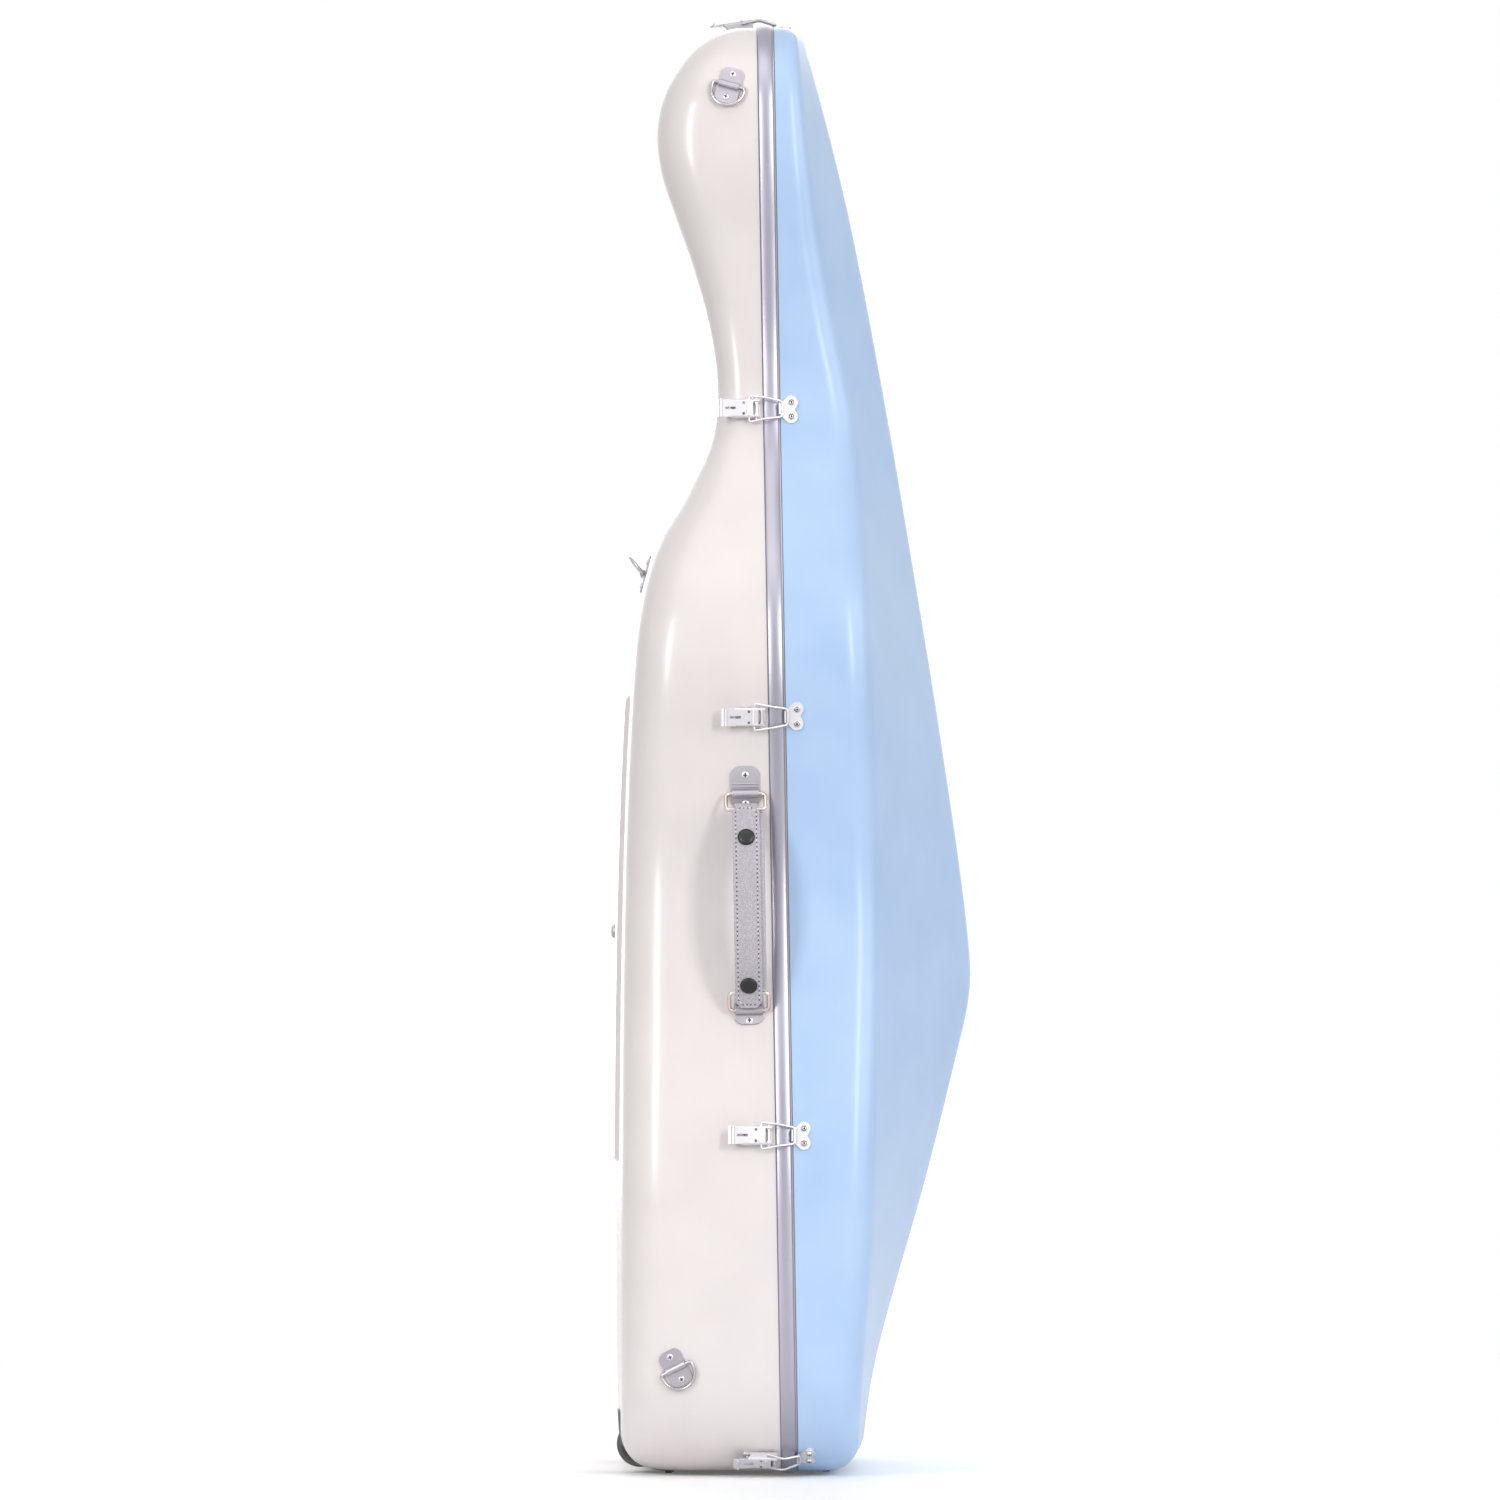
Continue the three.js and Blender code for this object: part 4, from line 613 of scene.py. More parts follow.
# shaping helpers for the pressed and turned fittings, in mm
def arc(centre, radii, turn, steps, start=0):
    angles = [start + turn * step / steps for step in range(steps + 1)]
    return [(centre[0] + radii[0] * math.cos(angle), centre[1] + radii[1] * math.sin(angle)) for angle in angles]


def softened(piece, width, degrees=40, segments=2):
    # bevelled edges, with flat faces that stay flat beside them
    bevel = activate(piece).modifiers.new("softEdges", "BEVEL")
    bevel.width = width * mm
    bevel.segments = segments
    bevel.angle_limit = math.radians(degrees)
    weighted = smoothByAngle(applyModifiers(piece)).modifiers.new("evenShading", "WEIGHTED_NORMAL")
    weighted.keep_sharp = True
    return applyModifiers(piece)


def roundedBox(left, right, low, high, radius, steps=5):
    corners = [Vector(place) for place in ((left, low), (right, low), (right, high), (left, high))]
    result = []
    for index, corner in enumerate(corners):
        result += roundedCorner(corners[index - 1], corner, corners[(index + 1) % 4], radius, steps)
    return result


def platePiece(name, outline, low, high, soft=0.2):
    # a plate with its outline in x and y
    deselectAll()
    bpy.ops.mesh.primitive_circle_add(vertices=len(outline), fill_type="NGON")
    piece = bpy.context.object
    piece.name = name
    for vertex, (x, y) in zip(piece.data.vertices, outline):
        vertex.co = (x * mm, y * mm, low * mm)
    editAll(piece)
    bpy.ops.mesh.extrude_region_move(TRANSFORM_OT_translate={"value": (0, 0, (high - low) * mm)})
    bpy.ops.mesh.select_all(action="SELECT")
    bpy.ops.mesh.normals_make_consistent(inside=False)
    leaveEdit()
    return softened(piece, soft) if soft else piece


def pressedPiece(name, outline, width, middle=0, soft=0.15):
    # a strip with its outline in x and z, of one section across y
    piece = platePiece(name, outline, -width / 2 - middle, width / 2 - middle, soft)
    piece.data.transform(Matrix.Rotation(math.pi / 2, 4, "X"))
    return piece


def rolledPiece(name, outline, width, soft):
    # a strip with its outline in y and z, of one section along x
    piece = platePiece(name, outline, -width / 2, width / 2, soft)
    piece.data.transform(Matrix(((0, 0, 1, 0), (1, 0, 0, 0), (0, 1, 0, 0), (0, 0, 0, 1))))
    return piece


def barrelPlate(outline, low, high, barrel, soft):
    # a plate with a half-round barrel across it
    radius, width = barrel
    arch = [(-radius, high - 0.2), (radius, high - 0.2)] + arc((0, 0), (radius, radius), math.pi, 14)
    return [platePiece("plate", outline, low, high, 0.35), rolledPiece("barrel", arch, width, soft)]


def rodPiece(name, radius, length, place, sides=24, soft=0.2):
    # a rod along y
    deselectAll()
    bpy.ops.mesh.primitive_cylinder_add(vertices=sides, radius=radius * mm, depth=length * mm,
                                        rotation=(math.pi / 2, 0, 0), location=[value * mm for value in place])
    piece = bpy.context.object
    piece.name = name
    return softened(applyPlace(piece), soft, 50)


def moved(piece, place):
    piece.data.transform(Matrix.Translation([value * mm for value in place]))
    return piece


def paintHollowShade(piece, test):
    # the faces that pass the test take the second material, black: painted shade inside a hollow
    if len(piece.data.materials) < 2:
        piece.data.materials.append(finishes["nickel_steel"])
        piece.data.materials.append(finishes["black_stud"])
    for face in piece.data.polygons:
        if test(face.center / mm):
            face.material_index = 1
    return piece


def headPiece(name, radius, height, rings, sides=28):
    # a short rod whose top is inset and lifted ring by ring, by shares of its radius and height
    deselectAll()
    bpy.ops.mesh.primitive_cylinder_add(vertices=sides, radius=radius * mm, depth=1.2 * mm)
    piece = bpy.context.object
    piece.name = name
    selectFaces(piece, lambda middle, normal: normal.z > 0.9)
    for inset, lift in rings:
        bpy.ops.mesh.inset(thickness=inset * radius * mm)
        bpy.ops.transform.translate(value=(0, 0, lift * height * mm))
    leaveEdit()
    return piece


def hollowRivet(radius, height, place):
    # a flange, a sunk ring round the button, and the hollow in its middle; the ring and the hollow are painted black
    # as their shade
    rings = ((0.1, 0.6), (0.16, 0.25), (0.06, -0.9), (0.14, 0), (0.06, 0.8), (0.16, 0.15), (0.05, -1.2))
    sunk, hollow = (0.54 * radius, 0.68 * radius), 0.3 * radius
    piece = paintHollowShade(headPiece("rivet", radius, height, rings), lambda p: (
        sunk[0] < math.hypot(p.x, p.y) < sunk[1] or math.hypot(p.x, p.y) < hollow and p.z > 0))
    return smoothByAngle(moved(piece, place), 40)


def rivetPiece(name, radius, height, place=(0, 0, 0), dimple=0.35, sides=28):
    # a low domed head with a dimple in its middle
    rings = ((0.12, 0.5), (0.2, 0.3), (0.22, 0.15), (0.12, 0), (0.08, -dimple))
    return smoothByAngle(moved(headPiece(name, radius, height, rings, sides), place), 50)


def screwPiece(radius, place):
    # a domed head with a cross recess, painted black inside as its shade
    head = rivetPiece("screw", radius, 0.8, dimple=0)
    arm, thin = radius * 0.62, radius * 0.16
    quarter = [(thin, -arm), (thin, -thin), (arm, -thin)]
    cross = []
    for turn in range(4):
        cross += quarter
        quarter = [(-y, x) for x, y in quarter]
    cutAway(head, platePiece("cross", cross, 0.75, 4, 0))
    paintHollowShade(head, lambda p: 0 < p.z < 1.1 and abs(p.x) < arm * 1.01 and abs(p.y) < arm * 1.01)
    return smoothByAngle(moved(head, place), 40)


def roundPath(points, radius, steps=6):
    # closed path in metres through points in mm, its corners turned into arcs
    corners = [Vector(point) * mm for point in points]
    result = []
    for index, corner in enumerate(corners):
        back = corners[index - 1] - corner
        ahead = corners[(index + 1) % len(corners)] - corner
        reach = min(radius * mm, back.length * 0.48, ahead.length * 0.48)
        start = corner + back.normalized() * reach
        end = corner + ahead.normalized() * reach
        for t in (step / steps for step in range(steps + 1)):
            result.append(start * (1 - t) ** 2 + corner * 2 * t * (1 - t) + end * t * t)
    return result


def wirePiece(name, points, radius):
    # a round wire along a closed path
    deselectAll()
    curve = bpy.data.curves.new(name, "CURVE")
    curve.dimensions = "3D"
    curve.bevel_depth = radius * mm
    curve.bevel_resolution = 4
    spline = curve.splines.new("POLY")
    spline.points.add(len(points) - 1)
    for knot, place in zip(spline.points, points):
        knot.co = (*place, 1)
    spline.use_cyclic_u = True
    wire = bpy.data.objects.new(name, curve)
    bpy.context.scene.collection.objects.link(wire)
    activate(wire)
    bpy.ops.object.convert(target="MESH")
    return smoothByAngle(bpy.context.object, 60)


def joined(name, pieces):
    deselectAll()
    for piece in pieces:
        piece.select_set(True)
    bpy.context.view_layer.objects.active = pieces[0]
    bpy.ops.object.join()
    pieces[0].name = pieces[0].data.name = name
    return pieces[0]


def placeFrom(origin, across, up, outward):
    # matrix whose columns are a fitting's own axes and its origin
    return Matrix.Translation(origin) @ Matrix((across, up, outward)).transposed().to_4x4()


def discard(pieces):
    for piece in pieces:
        bpy.data.objects.remove(piece)


def jointPlace(name):
    return Vector(joints[name]["pos_m"]), Vector(joints[name]["axis"]).normalized()


# draw latch: x runs from the lever's tip over the parting plane to the catch, z stands off the case
latch = {
    "sheet": 1.2, "tip": -58, "width": 18, "drawnIn": 0.933, "top": 8.4, "fold": 1.6, "curl": 4.2, "curlTurn": 70,
    "flange": -44.5, "slant": 3.2, "fulcrum": -20.5, "fulcrumHeight": 4.6, "fulcrumRadius": 2.9, "pin": 1.2,
    "bailPivot": (-27.5, 4.3), "wire": 1.1, "wide": 12.8, "narrow": 7.6, "peak": (-12, 8.8), "far": (3.7, 3.7),
    "bailCorner": 3.4, "bed": (-50, -17.9, 6.2), "plateTop": 1.3, "root": 4.4, "ear": 2.3, "earIn": 0.45,
    "baseRivets": (5, 16), "lobe": (12.2, 6.9, 6.3), "lobeFrom": 118, "lobeTurn": -153, "rivet": 3.3, "hookHalf": 5.4,
    "hookFoot": 1.7, "openings": [  # first and last x and y: finger slot, two windows by the fold, mouth by the ears
        (-50.2, -40, -1.3, 1.3), (-33.6, -31.4, -7, -4.4), (-33.6, -31.4, 4.4, 7), (-23.6, -17.6, -7, 7),
    ],
    "knuckle": (-28.4, 1.5, 14), "topTilt": -9,
}


def latchLever():
    # a sheet folded down along both sides and curled up at its tip
    tip, end, side, top = latch["tip"], latch["fulcrum"] + latch["fulcrumRadius"], latch["width"] / 2, latch["top"]
    flange, drop = latch["flange"], top - latch["fulcrumHeight"] + latch["fulcrumRadius"]
    deselectAll()
    bpy.ops.mesh.primitive_plane_add(size=1)
    piece = bpy.context.object
    piece.scale = ((end - tip) * mm, 2 * side * mm, 1)
    piece.location = ((end + tip) / 2 * mm, 0, top * mm)
    applyPlace(piece)
    bpy.ops.object.mode_set(mode="EDIT")
    cuts = [(x, (1, 0, 0)) for x in {flange, *(x for opening in latch["openings"] for x in opening[:2])}]
    cuts += [(y, (0, 1, 0)) for y in {y for opening in latch["openings"] for y in opening[2:]}]
    for at, normal in sorted(cuts):
        bpy.ops.mesh.select_all(action="SELECT")
        bpy.ops.mesh.bisect(plane_co=[at * mm * share for share in normal], plane_no=normal)

    def onFlange(p):
        return abs(abs(p.y) - side) < 0.01 and p.x > flange - 0.01
    selectEdges(piece, onFlange)
    bpy.ops.mesh.extrude_edges_move(TRANSFORM_OT_translate={"value": (0, 0, -drop * mm)})
    selectEdges(piece, lambda p: abs(p.z - top) < 0.01 and onFlange(p))
    bpy.ops.mesh.bevel(offset=latch["fold"] * mm, segments=5, affect="EDGES")
    selectEdges(piece, lambda p: abs(p.x - tip) < 0.01)
    centre = (tip * mm, 0, (top + latch["curl"]) * mm)
    bpy.ops.mesh.spin(steps=9, angle=math.radians(latch["curlTurn"]), center=centre, axis=(0, 1, 0))
    selectFaces(piece, lambda p, normal: abs(p.z - top) < 0.01 and any(
        low < p.x < high and near < p.y < far for low, high, near, far in latch["openings"]))
    bpy.ops.mesh.delete(type="FACE")
    leaveEdit()
    for vertex in piece.data.vertices:
        place = vertex.co / mm
        if place.z < top - drop + 0.5 and place.x < flange + 1:
            vertex.co.x += latch["slant"] * mm
    thickened(cleanUp(piece), latch["sheet"] * mm, 0)
    moved(piece, (0, 0, -latch["sheet"] / 2)).data.transform(Matrix.Diagonal((1, latch["drawnIn"], 1, 1)))
    x, radius, wide = latch["knuckle"]
    return joined("latchLever", [softened(piece, 0.25, 50), rodPiece("knuckle", radius, wide, (x, 0, top - 0.3))])


def latchBase():
    low, high, side = latch["bed"]
    parts = [platePiece("bed", roundedBox(low, high, -side, side, 2.2), -latch["root"], latch["plateTop"], 0.3)]
    x, z, radius = latch["fulcrum"], latch["fulcrumHeight"], latch["ear"]
    ear = [(x - latch["fulcrumRadius"], 0.4), (x + radius, 0.4)] + arc((x, z), (radius, radius), math.pi, 10)
    parts += [pressedPiece("ear", ear, latch["sheet"], y) for y in (latch["earIn"] - side, side - latch["earIn"])]
    parts.append(rodPiece("pin", latch["pin"], latch["width"] + 2 * latch["sheet"], (x, 0, z)))
    parts += [rivetPiece("rivet", 2.4, 0.9, (low + along, 0, latch["plateTop"])) for along in latch["baseRivets"]]
    return joined("latchBase", parts)


def latchCatch():
    x, y, radius = latch["lobe"]
    foot, half = latch["hookFoot"], latch["hookHalf"]
    lobe = arc((x, y), (radius, radius), math.radians(latch["lobeTurn"]), 16, math.radians(latch["lobeFrom"]))
    outline = [(foot, half), *lobe, (x + radius / 2, 0), *((px, -py) for px, py in reversed(lobe)), (foot, -half)]
    hook = [(foot, 0.4), (0.1, 2.8), (0.5, 5.2), (1.0, 6.1), (2.1, 6.2), (2.5, 5.6), (2.0, 5.1), (1.5, 4.6),
            (1.3, 2.9), (4.1, 1.3), (4.1, 0.4)]
    parts = [platePiece("lobes", outline[::-1], -latch["root"], latch["plateTop"], 0.35),
             pressedPiece("hook", hook[::-1], 2 * half)]
    parts += [hollowRivet(latch["rivet"], 1.1, (x + 0.4, place, latch["plateTop"])) for place in (y, -y)]
    return joined("latchCatch", parts)


def latchBail():
    wide, narrow = latch["wide"], latch["narrow"]
    knots = list(zip((latch["bailPivot"], latch["peak"], latch["far"]), (wide, (wide + narrow) / 2, narrow)))
    points = [(x, y, z) for (x, z), y in knots] + [(x, -y, z) for (x, z), y in reversed(knots)]
    return wirePiece("latchBail", roundPath(points[-1:] + points[:-1], latch["bailCorner"]), latch["wire"])


def latchFrame(name):
    # the latch's own axes, found from its two pivots
    lever, across = jointPlace(f"{name}_latch_opening")
    bail = jointPlace(f"{name}_bail_turn")[0]
    dx = latch["bailPivot"][0] - latch["fulcrum"]
    dz = latch["bailPivot"][1] - latch["fulcrumHeight"]
    along = (bail - lever).normalized()
    over = across.cross(along)
    length = math.hypot(dx, dz)
    towardsLid = along * (dx / length) + over * (dz / length)
    outward = along * (dz / length) - over * (dx / length)
    origin = lever - towardsLid * latch["fulcrum"] * mm - outward * latch["fulcrumHeight"] * mm
    return placeFrom(origin, towardsLid, across, outward)


latchParts = {"lever": latchLever(), "base": latchBase(), "catch": latchCatch(), "bail": latchBail()}
fulcrum = Matrix.Translation((latch["fulcrum"] * mm, 0, latch["fulcrumHeight"] * mm))
nestled = fulcrum @ Matrix.Rotation(math.radians(latch["topTilt"]), 4, "Y") @ fulcrum.inverted()
for name in ("bottom", "lower", "upper", "neck", "top"):
    # the top latch takes the darker satin zinc of the plates instead of nickel steel: painted shade, as it lies
    # edge-on at the head
    finish = "satin_zinc" if name == "top" else "nickel_steel"
    for part, body in (("lever", f"{name}_lever"), ("base", "back"), ("catch", "lid"), ("bail", f"{name}_bail")):
        tilt = nestled if name == "top" and part in ("lever", "base") else Matrix()  # follows the head's curve
        fit(latchParts[part], f"{name}_latch_{part}", latchFrame(name) @ tilt, body, finish)
discard(latchParts.values())
print("latches made")


def wallNormal(z, side):
    # direction square to the side wall of the back shell
    step = 1 * mm
    rise = (sizeAt("width", z + step) - sizeAt("width", z - step)) / (2 * step)
    up = Vector((-math.tan(case["seamLean"]), side * rise, 1))
    slope = case["backDraft"] / (case["backDepth"] - case["backCrown"])
    return Vector((1, side * slope, 0)).cross(up).normalized() * -side


def backFace(z, y, lift=0.0):
    # point of the back's outer face, in shell coordinates
    depth = sizeAt("back", z)
    share = depth / case["backDepth"]
    fall = case["backCrown"] * share * abs(y) / (sizeAt("width", z) - case["backDraft"] * share)
    return Vector((seamX(z) - depth + fall - lift, y, z))


def backNormal(z, y):
    step = 1 * mm
    up = backFace(z + step, y) - backFace(z - step, y)
    across = backFace(z, y - step) - backFace(z, y + step)
    return across.cross(up).normalized()


def fittingFrame(origin, across, guess):
    # axes of a fitting whose x is known and whose z is as square to the wall as x allows
    outward = (guess - across * guess.dot(across)).normalized()
    return placeFrom(origin, across, outward.cross(across), outward)


# strap ring: plate, half-round barrel and D-shaped ring; y runs along the plate from the pivot
ring = {
    "plate": (11.2, 18), "corner": 7, "axis": 2.9, "top": 1.4, "root": 4.2, "barrel": (3.4, 20), "wire": 1.5,
    "half": 15.5, "drop": 20.5, "corners": 3.2, "screw": (3.1, 11.7), "openTurn": 125,
}


def ringPlate():
    side, long = ring["plate"]
    high = ring["top"] - ring["axis"]
    outline = roundedBox(-side, side, -long, long, ring["corner"], 8)
    parts = barrelPlate(outline, -ring["root"] - ring["axis"], high, ring["barrel"], 0.3)
    radius, reach = ring["screw"]
    parts += [screwPiece(radius, (0, y, high)) for y in (-reach, reach)]
    return joined("ringPlate", parts)


def strapRing():
    half = ring["half"]
    bow = arc((0, half - ring["drop"]), (half, half), math.pi, 24, math.pi)
    points = [(half, 0, 0), (-half, 0, 0)] + [(x, y, 0) for x, y in bow]
    return wirePiece("strapRing", roundPath(points, ring["corners"], 4), ring["wire"])


ringParts = (ringPlate(), strapRing())
for name in ("upper_side", "lower_side", "far_side", "back_near", "back_other"):
    pivot, axis = jointPlace(f"{name}_ring_swing")
    local = pivot - caseOrigin
    onBack = name.startswith("back")
    guess = backNormal(local.z, local.y) if onBack else wallNormal(local.z, math.copysign(1, local.y))
    place = fittingFrame(pivot, -axis, guess)
    turn = Matrix.Rotation(math.radians(-ring["openTurn"] if onBack else 0), 4, "X")
    fit(ringParts[0], f"{name}_ring_plate", place, "back", "satin_zinc")
    fit(ringParts[1], f"{name}_ring", place @ turn, f"{name}_ring", "nickel_wire")
discard(ringParts)
print("strap rings hung")

# handle: y runs up from the middle, z stands off the case, both in the lift's own frame
handle = {
    "plate": (14, -13, 26), "shoulder": 9, "axis": 3.4, "top": 1.3, "root": 4.4, "barrel": (4.2, 25.6),
    "wire": 1.8, "ringHalf": 18.5, "ringReach": 19, "ringTurn": 35, "ringCorner": 4.5, "screws": (17.5, -9.4),
    "screw": 3.4, "ribs": (6.2, 9.2), "rib": (0.9, 24.5), "width": 25, "thick": 8, "crown": 33, "loop": (4.1, 21.5),
    "shift": 4.4, "studs": (58, -79.2), "stud": (8.1, 2), "taper": 9, "narrow": 0.94, "thin": 0.7, "fall": 0.5,
    "squareness": (0.42, 0.5),
}
# stitched front layer: its ends along the strap, and the seam that runs round inside its edge
layer = {
    "ends": (-99.7, 89.4), "half": 12.8, "thick": 2.8, "chamfer": 5.5, "lift": 5.2, "straightFrom": 74,
    "seam": 3.1, "seamWidth": 0.7, "sunk": 0.35, "pitch": 4.2, "thread": (2.6, 0.55), "holeShade": 0.72,
    "squareness": (0.3, 0.45),
}
strapShares = [[-1, 0], [-0.72, 0.62], [-0.36, 0.95], [0, 1], [0.36, 0.95], [0.72, 0.62], [1, 0]]
upperPivot, upperAxis = jointPlace("handle_upper_link_turn")
lowerPivot, lowerAxis = jointPlace("handle_lower_link_turn")
handleOut = Vector(joints["handle_lift"]["axis"]).normalized()
handleUp = (upperPivot - lowerPivot).normalized()
handleHalf = (upperPivot - lowerPivot).length / 2 / mm
handleMiddle = (upperPivot + lowerPivot) / 2
handlePlace = placeFrom(handleMiddle, handleUp.cross(handleOut), handleUp, handleOut)


def handleBracket():
    side, low, high = handle["plate"]
    top = handle["top"] - handle["axis"]
    outline = roundedBox(-side, side, low, high, handle["shoulder"], 8)
    parts = barrelPlate(outline, -handle["axis"] - handle["root"], top, handle["barrel"], 0.35)
    radius, width = handle["rib"]
    parts += [rolledPiece("rib", arc((y, top - 0.1), (radius, radius), math.pi, 8), width, 0.15)
              for y in handle["ribs"]]
    parts += [screwPiece(handle["screw"], (0, y, top)) for y in handle["screws"]]
    return joined("handleBracket", parts)


def linkRing(end):
    # the rectangular ring, leaning out to the strap
    half, reach, turn = handle["ringHalf"], handle["ringReach"], math.radians(handle["ringTurn"])
    y, z = -end * reach * math.cos(turn), reach * math.sin(turn)
    points = [(half, 0, 0), (-half, 0, 0), (-half, y, z), (half, y, z)]
    path = [place + Vector((0, end * handleHalf * mm, 0)) for place in roundPath(points, handle["ringCorner"])]
    return wirePiece("linkRing", path, handle["wire"])


bracket = handleBracket()
for name, end, pivot in (("upper", 1, upperPivot), ("lower", -1, lowerPivot)):
    place = fittingFrame(pivot, handlePlace.col[0].xyz, wallNormal((pivot - caseOrigin).z, -1))
    fit(bracket, f"handle_{name}_bracket", place, "back", "satin_zinc")
    link = linkRing(end)
    link.data.transform(handlePlace)
    link.name = f"handle_{name}_ring_fine"
    dress(link, f"handle_{name}_link", "rosy_wire", f"handle_{name}_ring")
discard([bracket])

leg = (handleHalf - handle["ringReach"] * math.cos(math.radians(handle["ringTurn"])),
       handle["ringReach"] * math.sin(math.radians(handle["ringTurn"])))
strapReach = leg[0] - 3
strapFoot = leg[1] + handle["wire"]
strapRise = smoothCurve(strapShares)


def strapPoint(y):
    # height of the strap's middle line and its slope, at a place along it
    def height(place):
        return strapFoot + strapRise(place / strapReach) * (handle["crown"] - strapFoot)
    return height(y), height(y + 0.5) - height(y - 0.5)


def layerPoint(y):
    # height of the front layer's middle and its slope; past the strap it runs on straight
    held = max(-layer["straightFrom"], min(layer["straightFrom"], y))
    z, slope = strapPoint(held)
    return z + layer["lift"] * math.hypot(1, slope) + slope * (y - held), slope


def squareTo(slope):
    return Vector((0, -slope, 1)).normalized()


def softSection(middle, slope, half, squareness, steps, liftAt):
    # closed row round a strap: a squared-off oval whose height is a function of x and of the oval's own rise
    row = []
    for step in range(steps):
        angle = 2 * math.pi * step / steps
        across, rise = (math.copysign(abs(value) ** power, value)
                        for value, power in zip((math.cos(angle), math.sin(angle)), squareness))
        place = Vector(middle) + Vector((half * across, 0, 0)) + squareTo(slope) * liftAt(half * across, rise)
        row.append(place * mm)
    return row + row[:1]


def strapSection(y):
    # padded core: rolled edges and a soft crown, drawn in at both ends
    taper = max(0, (abs(y) - strapReach + handle["taper"]) / handle["taper"])
    wide = handle["width"] / 2 * (1 - (1 - handle["narrow"]) * taper)
    thick = handle["thick"] / 2 * (1 - (1 - handle["thin"]) * taper)
    z, slope = strapPoint(y)
    return softSection((handle["shift"], y, z), slope, wide, handle["squareness"], 56, lambda x, rise: (
        thick * rise - math.copysign(handle["fall"] * (x / wide) ** 2, rise)))


def layerSection(y):
    toEnd = min(y - layer["ends"][0], layer["ends"][1] - y)
    half = layer["half"] - max(0, layer["chamfer"] - toEnd)
    z, slope = layerPoint(y)

    def dip(fromEdge):
        # depth of the seam's line, for its front side only
        return layer["sunk"] * math.exp(-((fromEdge - layer["seam"]) / layer["seamWidth"]) ** 2)
    return softSection((0, y, z), slope, half, layer["squareness"], 64, lambda x, rise: (
        layer["thick"] / 2 * rise - (max(dip(layer["half"] - abs(x)), dip(toEnd)) if rise > 0 else 0)))


def closedLoft(name, rows):
    # rows joined into a tube whose two ends are drawn to their middles
    for index, at in ((0, 0), (-1, len(rows))):
        middle = sum((place for place in rows[index][:-1]), Vector()) / (len(rows[index]) - 1)
        rows.insert(at, [middle.copy() for place in rows[index]])
    return smoothByAngle(gridPiece(name, rows, closed=True), 55)


def handleStrap():
    steps = 70
    parts = [closedLoft("strap", [strapSection(-strapReach + 2 * strapReach * n / steps) for n in range(steps + 1)])]
    low, high = layer["ends"]
    edge = (0, 0.25, 0.8, 1.6, 2.4, 3.1, 3.8, 4.6, layer["chamfer"])
    stations = [low + step for step in edge]
    stations += [low + edge[-1] + (high - low - 2 * edge[-1]) * n / steps for n in range(1, steps)]
    stations += [high - step for step in reversed(edge)]
    parts.append(closedLoft("layer", [layerSection(y) for y in stations]))
    radius, width = handle["loop"]
    for end in (1, -1):
        loop = arc((end * (leg[0] + 0.6), leg[1]), (radius + 1.2, radius), 2 * math.pi, 28)
        parts.append(rolledPiece("loop", loop[:-1], width, 0.9))
    return joined("handle_strap_padded", parts)


def seamPlaces():
    # middle and direction of every stitch, along the seam's closed line
    low, high = layer["ends"][0] + layer["seam"], layer["ends"][1] - layer["seam"]
    half, cut = layer["half"] - layer["seam"], layer["chamfer"] - 1.2
    corners = [Vector(place) for place in (
        (-half, low + cut), (-half, high - cut), (-half + cut, high), (half - cut, high),
        (half, high - cut), (half, low + cut), (half - cut, low), (-half + cut, low))]
    for start, end in zip(corners, corners[1:] + corners[:1]):
        run = end - start
        count = max(1, round(run.length / layer["pitch"]))
        for index in range(count):
            yield start + run * (index + 0.5) / count, run.normalized(), run.length / count


def stitches():
    # rounded threads along the seam, and dark dots between them, painted shade of the needle holes
    length, radius = layer["thread"]
    deselectAll()
    bpy.ops.mesh.primitive_uv_sphere_add(segments=8, ring_count=6, radius=radius * mm)
    thread = bpy.context.object
    thread.data.transform(Matrix.Diagonal((1, 1, length / (2 * radius), 1)))
    bpy.ops.mesh.primitive_uv_sphere_add(segments=8, ring_count=6, radius=layer["holeShade"] * mm)
    holeShade = bpy.context.object
    threads, holeShades = [], []
    for middle, run, pitch in seamPlaces():
        for base, along, sunk, made in ((thread, 0, 0.2, threads), (holeShade, pitch / 2, 0.3, holeShades)):
            at = middle + run * along
            z, slope = layerPoint(at.y)
            normal = squareTo(slope)
            heading = Vector((run.x, run.y, slope * run.y)).normalized()
            place = (Vector((at.x, at.y, z)) + normal * (layer["thick"] / 2 - sunk)) * mm
            made.append(copyPiece(base, "stitch", placeFrom(place, normal.cross(heading), normal, heading)))
    discard([thread, holeShade])
    return threads, holeShades


strap = handleStrap()
strap.data.transform(handlePlace)
dress(strap, "handle", "leather", "handle_strap")
# the threads, and the dark dots that are painted shade of the needle holes
for name, finish, pieces in zip(("handle_stitching", "handle_needle_holes"), ("thread", "needle_hole_shade"), stitches()):
    stitching = joined(name, pieces)
    stitching.data.transform(handlePlace)
    smoothByAngle(dress(stitching, "handle", finish), 80)

for name, y in zip(("upper", "lower"), handle["studs"]):
    z, slope = layerPoint(y)
    middle = (Vector((0, y, z)) + squareTo(slope) * (layer["thick"] / 2 + 0.3)) * mm
    stud = rivetPiece(f"handle_{name}_snap_fine", *handle["stud"], dimple=0, sides=48)
    stud.data.transform(handlePlace @ fittingFrame(middle, Vector((1, 0, 0)), squareTo(slope)))
    dress(stud, "handle", "black_stud", f"handle_{name}_snap")
print("handle sewn")

